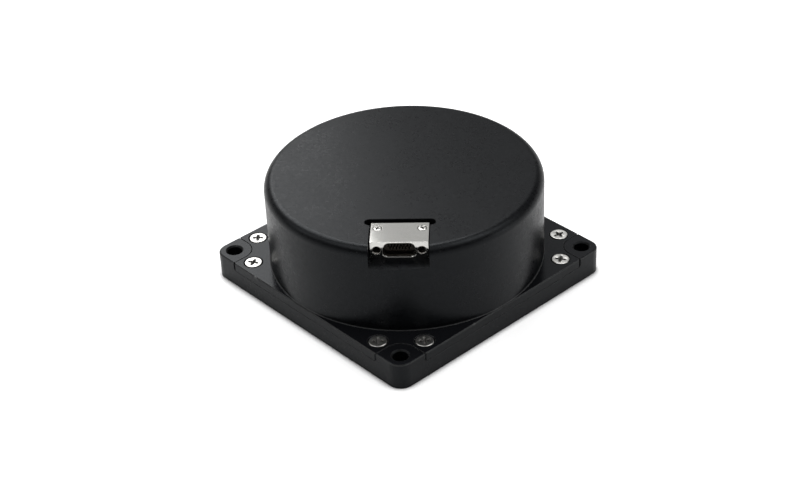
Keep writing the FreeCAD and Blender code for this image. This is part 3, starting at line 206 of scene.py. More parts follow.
class HardwareSettings(bpy.types.PropertyGroup):
    """Screws and connector."""
    steel_colour: bpy.props.FloatVectorProperty(
        name="Steel", description="Colour of the stainless screws", size=4, subtype="COLOR",
        default=(0.78, 0.77, 0.74, 1.0), min=0.0, max=1.0)
    shell_colour: bpy.props.FloatVectorProperty(
        name="Shell", description="Colour of the connector's nickel plating", size=4,
        subtype="COLOR", default=(0.680, 0.675, 0.646, 1.0), min=0.0, max=1.0)
    # painted shade: the gold plating's hue, set far darker to stand in for the shade inside the D
    # opening
    shaded_gold_colour: bpy.props.FloatVectorProperty(
        name="Gold", description="Colour of the contacts' gold plating", size=4,
        subtype="COLOR", default=(0.17, 0.13, 0.085, 1.0), min=0.0, max=1.0)
    recess_depth: bpy.props.FloatProperty(
        name="Recess depth", description="Depth of the cover screws' cross", default=2.3 * MM,
        subtype="DISTANCE", unit="LENGTH")
    rim_rounding: bpy.props.FloatProperty(
        name="Rim rounding", description="Radius round the cover screws' heads", default=0.4 * MM,
        subtype="DISTANCE", unit="LENGTH")
    # strength of the painted shade in the recesses and threads of the bright metals
    recess_shade: bpy.props.FloatProperty(
        name="Recess shade", description="How dark the recesses and threads are", default=0.92,
        min=0.0, max=1.0)


# ------------------------------------------------------------ shader building
class Nodes:
    """Adds nodes to one tree and joins them, with sockets given by name or number."""

    def __init__(self, tree):
        self.tree = tree

    def add(self, kind, settings=None, ordered=(), **named):
        """A node with its settings, its first sockets fed in order and others by name."""
        node = self.tree.nodes.new(kind)
        for name, value in (settings or {}).items():
            setattr(node, name, value)
        for socket, value in enumerate(ordered):
            self.feed(node, socket, value)
        for name, value in named.items():
            self.feed(node, name.replace("_", " "), value)
        return node

    def feed(self, node, socket, value):
        target = node.inputs[socket]
        if isinstance(value, bpy.types.NodeSocket):
            self.tree.links.new(value, target)
        else:
            target.default_value = value

    def math(self, operation, first, second=0.0, clamp=False):
        settings = {"operation": operation, "use_clamp": clamp}
        return self.add("ShaderNodeMath", settings, (first, second)).outputs[0]

    def plus(self, first, second):
        return self.math("ADD", first, second)

    def minus(self, first, second):
        return self.math("SUBTRACT", first, second)

    def times(self, first, second):
        return self.math("MULTIPLY", first, second)

    def larger(self, first, second):
        return self.math("MAXIMUM", first, second)

    def stretch(self, value, low, high, to_low=0.0, to_high=1.0):
        """The value between low and high, moved to lie between to_low and to_high."""
        return self.add("ShaderNodeMapRange", None, (value, low, high, to_low, to_high)).outputs[0]

    def blend(self, factor, first, second):
        """A colour between two colours."""
        node = self.add("ShaderNodeMix", {"data_type": "RGBA"}, (factor,))
        self.feed(node, 6, first)
        self.feed(node, 7, second)
        return node.outputs[2]

    def noise(self, place, scale, detail=2.0, roughness=0.5):
        node = self.add("ShaderNodeTexNoise", Vector=place, Scale=scale, Detail=detail,
                        Roughness=roughness)
        return node.outputs["Fac"]

    def place(self):
        return self.add("ShaderNodeTexCoord").outputs["Object"]

    def squashed(self, place, scale):
        """The place, stretched along its axes, for streaks."""
        node = self.add("ShaderNodeVectorMath", {"operation": "MULTIPLY"}, (place, scale))
        return node.outputs[0]

    def bump(self, height, distance):
        return self.add("ShaderNodeBump", Height=height, Distance=distance).outputs["Normal"]

    def group(self, group, **inputs):
        return self.add("ShaderNodeGroup", {"node_tree": group}, **inputs)


def new_group(name, inputs, outputs):
    """An empty shader group with named inputs (name, default) and outputs (name, kind)."""
    group = bpy.data.node_groups.new(name, "ShaderNodeTree")
    for title, default in inputs:
        socket = group.interface.new_socket(title, in_out="INPUT", socket_type="NodeSocketFloat")
        socket.default_value = default
    for title, kind in outputs:
        group.interface.new_socket(title, in_out="OUTPUT", socket_type=kind)
    nodes = Nodes(group)
    return group, nodes, group.nodes.new("NodeGroupInput"), group.nodes.new("NodeGroupOutput")


EDGE_COSINES = (0.985, 0.90)  # between the rounded and the flat normal: no edge, a full edge
EDGE_RUB = 0.8
# chamfers leaning at 45 degrees get a painted highlight, shown as bare metal because of their lean
# alone
CHAMFER_SPREAD = (0.16, 0.08)  # from the chamfer's lean: no chamfer, a full chamfer
CHAMFER_HIGHLIGHT = 0.28
SCRATCH_SIZE = 0.35 * MM
PATCH_SHARE = 0.8  # of the wide patches in where the metal shows, the rest is fine scratches


def worn_edges_and_highlight_group():
    """Mask of the rubbed outside edges, thin all along and barer in stretches, plus a painted
    highlight on chamfers at 45 degrees.
    """
    group, nodes, given, result = new_group(
        "Worn edges and chamfer highlight", [("Width", 0.3 * MM), ("Patch size", 9 * MM), ("Amount", 0.5), ("Thin", 0.2)],
        [("Mask", "NodeSocketFloat")])
    rounded = nodes.add("ShaderNodeBevel", {"samples": 6}, Radius=given.outputs["Width"])
    rounded = rounded.outputs["Normal"]
    flat = nodes.add("ShaderNodeNewGeometry").outputs["Normal"]
    turn = nodes.add("ShaderNodeVectorMath", {"operation": "DOT_PRODUCT"}, (rounded, flat))
    sharp = nodes.stretch(turn.outputs["Value"], *EDGE_COSINES)
    # painted highlight: faces whose normal leans the way a 45-degree chamfer's does
    upward = nodes.add("ShaderNodeSeparateXYZ", Vector=flat).outputs["Z"]
    lean = nodes.math("ABSOLUTE", nodes.minus(upward, CHAMFER_LEAN))
    chamfer = nodes.stretch(lean, *CHAMFER_SPREAD, 0.0, CHAMFER_HIGHLIGHT)
    edge = nodes.larger(nodes.times(sharp, EDGE_RUB), chamfer)
    place = nodes.place()
    patch = nodes.noise(place, nodes.math("DIVIDE", 1.0, given.outputs["Patch size"]))
    scratch = nodes.noise(place, 1 / SCRATCH_SIZE, 3.0, 0.7)
    spread = nodes.plus(nodes.times(patch, PATCH_SHARE), nodes.times(scratch, 1 - PATCH_SHARE))
    limit = nodes.minus(1.0, given.outputs["Amount"])
    barer = nodes.stretch(nodes.minus(spread, limit), 0.0, 0.06)
    # this level scales both the worn edges and the painted chamfer highlight
    rubbed = nodes.larger(barer, given.outputs["Thin"])
    around = nodes.add("ShaderNodeAmbientOcclusion", {"samples": 8}, Distance=2.0 * MM,
                       Normal=rounded)
    outside = nodes.stretch(around.outputs["AO"], 0.78, 0.95)
    mask = nodes.math("MULTIPLY", nodes.times(edge, outside), rubbed, clamp=True)
    nodes.feed(result, "Mask", mask)
    return group


def blasted_grain_group():
    """Fine dimples of a bead-blasted face, with coarser specks and a soft mottle over them."""
    group, nodes, given, result = new_group(
        "Blasted grain", [("Grain size", 0.25 * MM)],
        [(title, "NodeSocketFloat") for title in ("Height", "Specks", "Mottle")])
    place = nodes.place()
    pitch = nodes.math("DIVIDE", 1.0, given.outputs["Grain size"])
    dimples = nodes.noise(place, pitch, 2.0, 0.6)
    mottle = nodes.noise(place, 1 / (2.4 * MM), 3.0, 0.55)
    specks = nodes.noise(place, nodes.math("DIVIDE", pitch, 7.0), 2.0, 0.6)
    nodes.feed(result, "Height", nodes.plus(dimples, nodes.times(specks, 1.5)))
    nodes.feed(result, "Specks", nodes.stretch(specks, 0.3, 0.7))
    nodes.feed(result, "Mottle", nodes.stretch(mottle, 0.3, 0.7))
    return group


def handling_group():
    """Faint smears and dust left by handling."""
    group, nodes, given, result = new_group(
        "Handling", [("Smear size", 22 * MM)],
        [("Smear", "NodeSocketFloat"), ("Dust", "NodeSocketFloat")])
    place = nodes.place()
    pitch = nodes.math("DIVIDE", 1.0, given.outputs["Smear size"])
    nodes.feed(result, "Smear", nodes.stretch(nodes.noise(place, pitch, 4.0, 0.6), 0.35, 0.7))
    specks = nodes.noise(place, 1 / (0.45 * MM), 1.0)
    nodes.feed(result, "Dust", nodes.stretch(specks, 0.74, 0.80))
    return group


def hollows_group():
    """Mask of recesses and narrow gaps, where shade is painted in."""
    group, nodes, given, result = new_group(
        "Hollows", [("Reach", 2.0 * MM), ("Open", 0.85), ("Closed", 0.45)],
        [("Mask", "NodeSocketFloat")])
    # ambient occlusion picks out the hollows that get painted shade
    around = nodes.add("ShaderNodeAmbientOcclusion", {"samples": 8},
                       Distance=given.outputs["Reach"])
    mask = nodes.stretch(around.outputs["AO"], given.outputs["Open"], given.outputs["Closed"])
    nodes.feed(result, "Mask", mask)
    return group


def drawn_lines_group():
    """Fine straight lines left in the metal along X."""
    group, nodes, given, result = new_group(
        "Drawn lines", [("Line width", 0.12 * MM)], [("Lines", "NodeSocketFloat")])
    place = nodes.place()
    pitch = nodes.math("DIVIDE", 1.0, given.outputs["Line width"])
    streaks = nodes.squashed(place, (0.06, 1.0, 1.0))
    nodes.feed(result, "Lines", nodes.noise(streaks, pitch, 3.0, 0.65))
    return group


GROUP_MAKERS = {
    "Worn edges and chamfer highlight": worn_edges_and_highlight_group,
    "Blasted grain": blasted_grain_group,
    "Handling": handling_group,
    "Drawn lines": drawn_lines_group,
    "Hollows": hollows_group,
}


def shared(name):
    return bpy.data.node_groups.get(name) or GROUP_MAKERS[name]()


def new_material(name):
    """An empty material, its node builder and its shader."""
    material = bpy.data.materials.new(name)
    material.use_nodes = True
    material.node_tree.nodes.clear()
    nodes = Nodes(material.node_tree)
    shader = nodes.add("ShaderNodeBsdfPrincipled")
    nodes.add("ShaderNodeOutputMaterial", None, (shader.outputs[0],))
    return material, nodes, shader


def tinted(colour, factor):
    return tuple(min(1.0, channel * factor) for channel in colour[:3]) + (1.0,)


def roughened(nodes, rough, *shares):
    """The roughness with the share of each mask added, from pairs of a mask and its share."""
    for mask, share in shares:
        rough = nodes.plus(rough, nodes.times(mask, share))
    return rough


# ------------------------------------------------------------ finishes
def flange_masks(nodes, height):
    """Masks of the low faces, of the milled flats among them and of a thin band round the drum's
    foot, which gets a painted highlight.
    """
    low = nodes.stretch(height, FLANGE_TOP + 2.0 * MM, FLANGE_TOP + 0.2 * MM)
    normal = nodes.add("ShaderNodeNewGeometry").outputs["Normal"]
    facing = nodes.add("ShaderNodeSeparateXYZ", Vector=normal).outputs["Z"]
    milled = nodes.times(low, nodes.stretch(facing, 0.90, 0.99))
    # a thin band round the drum's foot, just above the flange, for a painted highlight
    below = nodes.stretch(height, FLANGE_TOP + 0.50 * MM, FLANGE_TOP + 0.36 * MM)
    above = nodes.stretch(height, FLANGE_TOP, FLANGE_TOP + 0.04 * MM)
    return low, milled, nodes.times(below, above)


def distance_from_hole(nodes, parts):
    """How far a place is from the nearest mounting hole; the holes lie on the X and Y axes."""
    sides = [nodes.math("ABSOLUTE", parts.outputs[axis]) for axis in ("X", "Y")]
    out = nodes.minus(nodes.larger(*sides), HOLE_AT)
    aside = nodes.math("MINIMUM", *sides)
    return nodes.math("SQRT", nodes.plus(nodes.times(out, out), nodes.times(aside, aside)))


def black_anodised(settings, bare_colour):
    """Dyed oxide over blasted aluminium, rubbed bare along its sharp edges, with painted shade in
    its gaps and painted highlights on its chamfers and round the drum's foot.
    """
    material, nodes, shader = new_material("Black anodised")
    grain = nodes.group(shared("Blasted grain"), Grain_size=settings.grain)
    handling = nodes.group(shared("Handling"), Smear_size=24 * MM)
    # worn edges, with a painted highlight on chamfers mixed into the same mask
    wear_and_highlight = nodes.group(shared("Worn edges and chamfer highlight"), Width=settings.wear_width, Patch_size=7 * MM,
                       Amount=settings.bare_amount, Thin=settings.thin_rub_and_highlight)
    # hollows where shade is painted: the dye darkens there
    gaps = nodes.group(shared("Hollows"), Reach=1.2 * MM, Open=0.75, Closed=0.35)
    gaps = gaps.outputs["Mask"]
    parts = nodes.add("ShaderNodeSeparateXYZ", Vector=nodes.place())
    low, milled, foot = flange_masks(nodes, parts.outputs["Z"])

    dye, dust, foot_highlight_colour = settings.colour, (0.10, 0.10, 0.10, 1.0), (0.042, 0.042, 0.042, 1.0)
    oxide = nodes.blend(grain.outputs["Mottle"], tinted(dye, 0.8), tinted(dye, 1.3))
    # painted shade: the dye is darkened in gaps and recesses
    oxide = nodes.blend(gaps, oxide, tinted(dye, 0.2))
    oxide = nodes.blend(nodes.times(handling.outputs["Dust"], 0.2), oxide, dust)
    oxide = nodes.blend(milled, oxide, tinted(dye, 2.2))
    # painted highlight: a lighter band round the drum's foot, just above the flange
    oxide = nodes.blend(foot, oxide, foot_highlight_colour)
    by_hole = nodes.stretch(distance_from_hole(nodes, parts), 4.2 * MM, 4.8 * MM, 0.3, 1.0)
    # bare metal where edges are worn, and also as a painted highlight on chamfers
    bare = nodes.times(nodes.times(wear_and_highlight.outputs["Mask"], low), by_hole)
    nodes.feed(shader, "Base Color", nodes.blend(bare, oxide, bare_colour))
    nodes.feed(shader, "Metallic", bare)

    rough = nodes.stretch(milled, 0.0, 1.0, settings.roughness, settings.milled_roughness)
    uneven = nodes.stretch(milled, 0.0, 1.0, 1.0, 0.35)
    for mask, share in ((handling.outputs["Smear"], 0.05), (grain.outputs["Specks"], 0.13)):
        drift = nodes.times(nodes.minus(mask, 0.5), share)
        rough = nodes.plus(rough, nodes.times(drift, uneven))
    nodes.feed(shader, "Roughness", roughened(nodes, rough, (gaps, 0.12), (bare, -0.15)))
    nodes.feed(shader, "Normal", nodes.bump(grain.outputs["Height"], settings.grain_height))
    shader.inputs["Specular IOR Level"].default_value = 0.17
    shader.inputs["Specular Tint"].default_value = (0.89, 0.95, 1.0, 1.0)
    return material


def bright_metal(name, colour, roughness, line_width, line_height, smears=0.25, recess_shade=0.6,
                 reach=1.5 * MM, unshaded_above=0.85, full_shade_below=0.45):
    """Plated or passivated metal with drawn lines, smears, and painted shade in its recesses."""
    material, nodes, shader = new_material(name)
    lines = nodes.group(shared("Drawn lines"), Line_width=line_width).outputs["Lines"]
    handling = nodes.group(shared("Handling"), Smear_size=3 * MM)
    # hollows where shade is painted
    hollows = nodes.group(shared("Hollows"), Reach=reach, Open=unshaded_above, Closed=full_shade_below)
    smear = nodes.times(handling.outputs["Smear"], smears)
    # painted shade: the colour darkens almost to black in recesses and threads
    recess_shade_mask = nodes.times(hollows.outputs["Mask"], recess_shade)
    unshaded = nodes.blend(smear, tinted(colour, 1.0), tinted(colour, 0.78))
    nodes.feed(shader, "Base Color", nodes.blend(recess_shade_mask, unshaded, tinted(colour, 0.03)))
    shader.inputs["Metallic"].default_value = 1.0
    rough = roughened(nodes, roughness, (nodes.minus(lines, 0.5), 0.08), (smear, 0.12), (recess_shade_mask, 0.3))
    nodes.feed(shader, "Roughness", rough)
    nodes.feed(shader, "Normal", nodes.bump(lines, line_height))
    return material


def moulded(name, colour, roughness, grain=0.15 * MM, height=0.006 * MM):
    """Moulded plastic, rubber or resin with a fine skin and slight colour drift."""
    material, nodes, shader = new_material(name)
    skin = nodes.group(shared("Blasted grain"), Grain_size=grain)
    smear = nodes.group(shared("Handling"), Smear_size=6 * MM).outputs["Smear"]
    drift = nodes.blend(skin.outputs["Mottle"], tinted(colour, 0.9), tinted(colour, 1.1))
    nodes.feed(shader, "Base Color", drift)
    nodes.feed(shader, "Roughness", roughened(nodes, roughness, (nodes.minus(smear, 0.5), 0.12)))
    nodes.feed(shader, "Normal", nodes.bump(skin.outputs["Height"], height))
    return material


def wound_fibre():
    """Potted winding: fine even turns that show as rings round the coil."""
    material, nodes, shader = new_material("Wound fibre")
    place = nodes.place()
    turns = nodes.add("ShaderNodeTexWave", {"bands_direction": "Z"}, Vector=place,
                      Scale=1 / (1.6 * MM), Distortion=0.4)
    mottle = nodes.noise(place, 1 / (3 * MM), 3.0)
    dark, pale = (0.66, 0.58, 0.40, 1), (0.86, 0.80, 0.62, 1)
    nodes.feed(shader, "Base Color", nodes.blend(mottle, dark, pale))
    shader.inputs["Roughness"].default_value = 0.3
    shader.inputs["Coat Weight"].default_value = 0.4
    nodes.feed(shader, "Normal", nodes.bump(turns.outputs["Fac"], 0.05 * MM))
    return material


def printed_board():
    """Green solder mask with copper tracks showing through it."""
    material, nodes, shader = new_material("Printed board")
    place = nodes.place()
    flat_place = nodes.squashed(place, (1.0, 1.0, 0.0))
    fields = nodes.add("ShaderNodeTexVoronoi", {"feature": "DISTANCE_TO_EDGE"}, Vector=flat_place,
                       Scale=1 / (4 * MM))
    track = nodes.stretch(fields.outputs["Distance"], 0.05, 0.08, 1.0, 0.0)
    mask_green, track_green = (0.01, 0.11, 0.04, 1), (0.04, 0.24, 0.08, 1)
    nodes.feed(shader, "Base Color", nodes.blend(track, mask_green, track_green))
    drift = nodes.noise(place, 1 / (1.5 * MM))
    nodes.feed(shader, "Roughness", nodes.stretch(drift, 0.2, 0.8, 0.25, 0.40))
    nodes.feed(shader, "Normal", nodes.bump(track, 0.03 * MM))
    return material


def make_finishes(scene):
    """All materials, by the record's slot names, and one more for the jack sockets."""
    hardware = scene.gyro_hardware
    # the recess setting paints shade into the screws' crosses and the contacts' hollows
    polished = {"line_height": 0.0006 * MM, "smears": 0.3, "recess_shade": hardware.recess_shade}
    return {
        "black_anodised": black_anodised(scene.gyro_anodising, (0.62, 0.62, 0.61, 1.0)),
        "stainless": bright_metal(
            "Stainless steel", hardware.steel_colour, 0.32, 0.10 * MM, **polished),
        # the jacks' threads and the shell's D opening get wide painted shade
        "threaded_steel": bright_metal(
            "Threaded steel", (0.42, 0.40, 0.37, 1), 0.22, 0.10 * MM, **polished,
            reach=5 * MM, unshaded_above=0.55, full_shade_below=0.30),
        "nickel_shell": bright_metal(
            "Nickel plating", hardware.shell_colour, 0.08, 0.14 * MM, **polished,
            reach=4 * MM, unshaded_above=0.55, full_shade_below=0.25),
        "gold_contact": bright_metal(
            "Gold plating", hardware.shaded_gold_colour, 0.35, 0.08 * MM, 0.0005 * MM,
            smears=0.4, recess_shade=hardware.recess_shade, reach=4 * MM),
        "connector_plastic": moulded("Connector plastic", (0.048, 0.040, 0.031, 1), 0.5),
        "seal_rubber": moulded("Seal rubber", (0.015, 0.015, 0.015, 1), 0.6),
        "shield_metal": bright_metal(
            "Shield sheet", (0.50, 0.49, 0.47, 1), 0.40, 0.4 * MM, 0.006 * MM),
        "bare_aluminium": bright_metal(
            "Machined aluminium", (0.72, 0.72, 0.73, 1), 0.32, 0.2 * MM, 0.004 * MM),
        "wound_fibre": wound_fibre(),
        "tape": moulded("Polyimide tape", (0.55, 0.30, 0.05, 1), 0.35),
        "fibre_sleeve": moulded("Fibre sleeve", (0.80, 0.62, 0.08, 1), 0.4),
        "optics_case": bright_metal(
            "Plated case", (0.72, 0.56, 0.28, 1), 0.28, 0.2 * MM, 0.003 * MM),
        "steel_case": bright_metal(
            "Drawn steel case", (0.58, 0.58, 0.58, 1), 0.30, 0.2 * MM, 0.003 * MM),
        "thermal_pad": moulded("Thermal pad", (0.35, 0.38, 0.42, 1), 0.8),
        "circuit_board": printed_board(),
        "chip_plastic": moulded("Moulding compound", (0.025, 0.025, 0.028, 1), 0.55),
        "capacitor_can": bright_metal(
            "Capacitor can", (0.74, 0.74, 0.76, 1), 0.26, 0.15 * MM, 0.002 * MM),
        "header_plastic": moulded("Header plastic", (0.70, 0.66, 0.52, 1), 0.45),
        "flex_film": moulded("Flexible film", (0.50, 0.24, 0.04, 1), 0.3),
        "resin": moulded("Sealing resin", (0.02, 0.02, 0.025, 1), 0.25),
    }


# ------------------------------------------------------------ mesh building
def add_piece(name, mesh, finish):
    """Links a mesh as a piece that rides on the body, in a finish of the record's."""
    piece = bpy.data.objects.new(name, mesh)
    bpy.context.scene.collection.objects.link(piece)
    mesh.materials.clear()
    mesh.materials.append(finish)
    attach(piece, BODY)
    return piece


def lathe(profile, steps=48, ring=False):
    """A closed mesh turned about Z from (radius, height) points.

    The points start and end on the axis, or go once round a ring's section clear of it.
    """
    shape = bmesh.new()
    turns = [2 * math.pi * i / steps for i in range(steps)]
    rings = []
    for radius, height in profile:
        angles = turns if radius else [0.0]
        points = [(radius * math.cos(a), radius * math.sin(a), height) for a in angles]
        rings.append([shape.verts.new(point) for point in points])
    following = rings[1:] + rings[:1] if ring else rings[1:]
    for low, high in zip(rings, following):
        for i in range(steps):
            corners = (low[i % len(low)], low[(i + 1) % len(low)],
                       high[(i + 1) % len(high)], high[i % len(high)])
            shape.faces.new(list(dict.fromkeys(corners)))
    bmesh.ops.recalc_face_normals(shape, faces=shape.faces)
    return shape


def loft(outlines, heights):
    """A closed mesh through outlines of equal point counts at rising heights."""
    shape = bmesh.new()
    rings = [[shape.verts.new((x, y, z)) for x, y in outline]
             for outline, z in zip(outlines, heights)]
    count = len(rings[0])
    for low, high in zip(rings, rings[1:]):
        for i in range(count):
            following = (i + 1) % count
            shape.faces.new((low[i], low[following], high[following], high[i]))
    shape.faces.new(list(reversed(rings[0])))
    shape.faces.new(rings[-1])
    bmesh.ops.recalc_face_normals(shape, faces=shape.faces)
    return shape


def to_mesh(shape, name):
    mesh = bpy.data.meshes.new(name)
    shape.to_mesh(mesh)
    shape.free()
    return mesh


def temporary(name, mesh):
    """An object that exists only while another one is being cut."""
    thing = bpy.data.objects.new(name, mesh)
    bpy.context.scene.collection.objects.link(thing)
    return thing


def shaped(mesh, cutters, bevel, angle=0.5):
    """The mesh with the cutters taken out of it and its edges above the angle rounded."""
    for one in (mesh, *cutters):
        one.shade_smooth()
    work = temporary("Work", mesh)
    tools = [temporary("Cutter", cutter) for cutter in cutters]
    for tool in tools:
        modifier = work.modifiers.new("Cut", "BOOLEAN")
        modifier.operation = "DIFFERENCE"
        modifier.solver = "EXACT"
        modifier.object = tool
    modifier = work.modifiers.new("Edges", "BEVEL")
    modifier.width = bevel
    modifier.segments = 2
    modifier.limit_method = "ANGLE"
    modifier.angle_limit = angle
    modifier = work.modifiers.new("Even shading", "WEIGHTED_NORMAL")
    modifier.weight = 100
    modifier.keep_sharp = True
    graph = bpy.context.evaluated_depsgraph_get()
    result = bpy.data.meshes.new_from_object(work.evaluated_get(graph))
    for thing in tools + [work]:
        data = thing.data
        bpy.data.objects.remove(thing)
        bpy.data.meshes.remove(data)
    return result


def gathered(name, meshes_and_places):
    """Several meshes, each at its place, in one mesh."""
    whole = bmesh.new()
    for mesh, place in meshes_and_places:
        part = bmesh.new()
        part.from_mesh(mesh)
        part.transform(place)
        moved = bpy.data.meshes.new("Moved")
        part.to_mesh(moved)
        part.free()
        whole.from_mesh(moved)
        bpy.data.meshes.remove(moved)
    return to_mesh(whole, name)


def spot(x, y, z, turn):
    return Matrix.Translation((x, y, z)) @ Matrix.Rotation(turn, 4, "Z")


# ------------------------------------------------------------ screws
def cross_outline(arm, width, shoulder):
    """Outline of a cross recess whose arms narrow towards their ends."""
    points = []
    half_end = width * 0.72
    for quarter in range(4):
        turn = Matrix.Rotation(quarter * math.pi / 2, 2)
        for point in ((arm, -half_end), (arm, half_end), (shoulder, shoulder)):
            points.append(tuple(turn @ Vector(point)))
    return points


# a cross recess from its tip to its mouth: the share of the depth, then the arm's reach as a
# share of its reach at the mouth, and its width and shoulder as shares of its width there
CROSS_RINGS = ((1.0, 0.26, 0.30, 0.36), (0.55, 0.68, 0.82, 0.95), (0.0, 1.0, 1.0, 1.25))


def cross_cutter(arm, width, depth, top):
    """The punch that forms a cross recess: wide at the mouth and closing downwards."""
    outlines = [cross_outline(arm * reach, width * wide, width * shoulder)
                for _, reach, wide, shoulder in CROSS_RINGS]
    heights = [top - depth * share for share, *_ in CROSS_RINGS]
    outlines.append(cross_outline(arm * 1.02, width * 1.02, width * 1.28))
    heights.append(top + 0.3 * MM)
    return to_mesh(loft(outlines, heights), "Cross")


def thread_profile(radius, low, high, pitch, depth):
    """The stepped side of a thread, drawn as rings."""
    points = []
    for i in range(int((high - low) / pitch)):
        foot = low + i * pitch
        points += [(radius - depth, foot), (radius, foot + pitch * 0.4),
                   (radius, foot + pitch * 0.6), (radius - depth, foot + pitch * 0.95)]
    return points


def rounded_rim(radius, foot, inward, upward, steps=5):
    """Points round a head's rim, a quarter of an ellipse from its side over to its top."""
    turns = [math.pi / 2 * step / steps for step in range(steps + 1)]
    return [(radius - inward * (1 - math.cos(turn)), foot + upward * math.sin(turn))
            for turn in turns]


def countersunk_mesh(settings):
    """A cover screw with a rounded rim, top of the head at the origin."""
    head, shank = SCREW_HEAD / 2, SCREW_SHANK_RADIUS
    under = -SCREW_RIM - (head - shank)
    rounding = settings.rim_rounding
    profile = [(0.0, -SCREW_LENGTH), (shank - 0.5 * MM, -SCREW_LENGTH)]
    profile += thread_profile(shank, -SCREW_LENGTH + 0.3 * MM, under - 0.4 * MM, SCREW_PITCH,
                              SCREW_PITCH / 2)
    profile += [(shank, under), (head, -SCREW_RIM)]
    profile += rounded_rim(head, -rounding, rounding, rounding)
    profile.append((0.0, 0.0))
    cross = cross_cutter(2.4 * MM, 0.62 * MM, settings.recess_depth, 0.0)
    return shaped(to_mesh(lathe(profile, 64), "Countersunk"), [cross], 0.05 * MM, angle=0.6)


def make_cover_screws(scene, finishes):
    """Eight screws, two beside each corner of the base."""
    master = countersunk_mesh(scene.gyro_hardware)
    across = BASE_SIDE / 2 - SCREW_INSET
    pair = (Vector((across, SCREW_ALONG)), Vector((SCREW_ALONG, across)))
    corners = [Matrix.Rotation(math.radians(45 + 90 * i), 2) for i in range(4)]
    spots = [corner @ one for corner in corners for one in pair]
    placed = [(master, spot(x, y, SCREW_TOP, math.radians(turn)))
              for (x, y), turn in zip(spots, SCREW_TURNS)]
    mesh = gathered("Cover screws", placed)
    piece = add_piece("cover_screws_detail", mesh, finishes["stainless"])
    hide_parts("cover_screws")


# ------------------------------------------------------------ connector
def rounded_outline(corners, radius, steps=8):
    """Points round a convex outline, anticlockwise, with each corner rounded."""
    points = []
    count = len(corners)
    for i in range(count):
        corner = Vector(corners[i])
        before = (Vector(corners[i - 1]) - corner).normalized()
        after = (Vector(corners[(i + 1) % count]) - corner).normalized()
        half = before.angle(after) / 2
        middle = corner + (before + after).normalized() * (radius / math.sin(half))
        start = corner + before * (radius / math.tan(half)) - middle
        sweep = math.pi - 2 * half
        for step in range(steps + 1):
            points.append(tuple(middle + Matrix.Rotation(sweep * step / steps, 2) @ start))
    return points


def d_outline(grow=0.0):
    """The connector's D opening, wide side down, about its own middle."""
    wide, narrow = D_WIDE / 2 + grow, D_NARROW / 2 + grow
    low, high = -D_HEIGHT / 2 - grow, D_HEIGHT / 2 + grow
    corners = [(-wide, low), (wide, low), (narrow, high), (-narrow, high)]
    return rounded_outline(corners, D_CORNER + grow)


def facing_front(x, y, z):
    """A place whose local Z points out of the connector's front face."""
    return Matrix.Translation((x, y, z)) @ Matrix.Rotation(math.pi / 2, 4, "X")


def moved(shape, place, name):
    shape.transform(place)
    return to_mesh(shape, name)


def box_shape(low, high):
    outline = [(low.x, low.y), (high.x, low.y), (high.x, high.y), (low.x, high.y)]
    return loft([outline, outline], [low.z, high.z])


def shell_cutters():
    """What is taken out of the connector's block."""
    front, over = SHELL_LOW.y, SHELL_HIGH.z + CUT_PAST
    opening = loft([d_outline(), d_outline(), d_outline(2 * D_BROKEN_EDGE)],
                   [-D_DEPTH, -D_BROKEN_EDGE, D_BROKEN_EDGE])
    tools = [moved(opening, facing_front(0.0, front, D_MIDDLE), "Opening"),
             to_mesh(box_shape(VOID_LOW, VOID_HIGH), "Void")]
    for side in (-1, 1):
        bore = lathe([(0.0, -JACK_LENGTH), (JACK_RADIUS, -JACK_LENGTH), (JACK_RADIUS, CUT_PAST),
                      (0.0, CUT_PAST)])
        tools.append(moved(bore, facing_front(side * JACK_AT, front, PLUG_MIDDLE), "Bore"))
        seat = lathe([(0.0, HOLDER_SEAT), (HOLDER_SINK, HOLDER_SEAT), (HOLDER_SINK, over),
                      (0.0, over)])
        tools.append(moved(seat, Matrix.Translation((side * JACK_AT, HOLDER_Y, 0.0)), "Seat"))
    return tools


def make_shell(finishes):
    """The connector's plated block, with its D opening, jack bores and screw seats."""
    low = Vector((-SHELL_HIGH.x, SHELL_LOW.y, SHELL_LOW.z))
    block = to_mesh(box_shape(low, SHELL_HIGH), "Block")
    mesh = shaped(block, shell_cutters(), 0.10 * MM, angle=0.6)
    piece = add_piece("connector_shell_detail", mesh, finishes["nickel_shell"])
    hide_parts("connector_shell")


def jack_profile():
    """Section of a jack socket, mouth at the origin: its outside, its thread and its mouth."""
    thread_depth = 0.16 * MM
    outside = [(JACK_RADIUS - 0.08 * MM, -0.06 * MM), (JACK_RADIUS, -0.16 * MM),
               (JACK_RADIUS, -JACK_LENGTH)]
    inside = []
    for i in range(int((JACK_LENGTH - 1.2 * MM) / JACK_PITCH)):
        foot = -JACK_LENGTH + 0.2 * MM + i * JACK_PITCH
        inside += [(JACK_BORE, foot), (JACK_BORE + thread_depth, foot + JACK_PITCH / 2)]
    mouth = [(JACK_BORE, -0.35 * MM), (JACK_RADIUS - 0.3 * MM, -0.10 * MM),
             (JACK_RADIUS - 0.2 * MM, -0.06 * MM)]
    return outside + inside + mouth


def make_jacks(finishes):
    """Two threaded jack sockets with countersunk mouths."""
    master = to_mesh(lathe(jack_profile(), 40, ring=True), "Jack")
    places = [(master, facing_front(side * JACK_AT, SHELL_LOW.y, PLUG_MIDDLE)) for side in (-1, 1)]
    mesh = gathered("Jack sockets", places)
    mesh.shade_smooth()
    mesh.set_sharp_from_angle(angle=math.radians(32))
    piece = add_piece("jack_sockets_detail", mesh, finishes["threaded_steel"])
    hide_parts("jack_inserts")


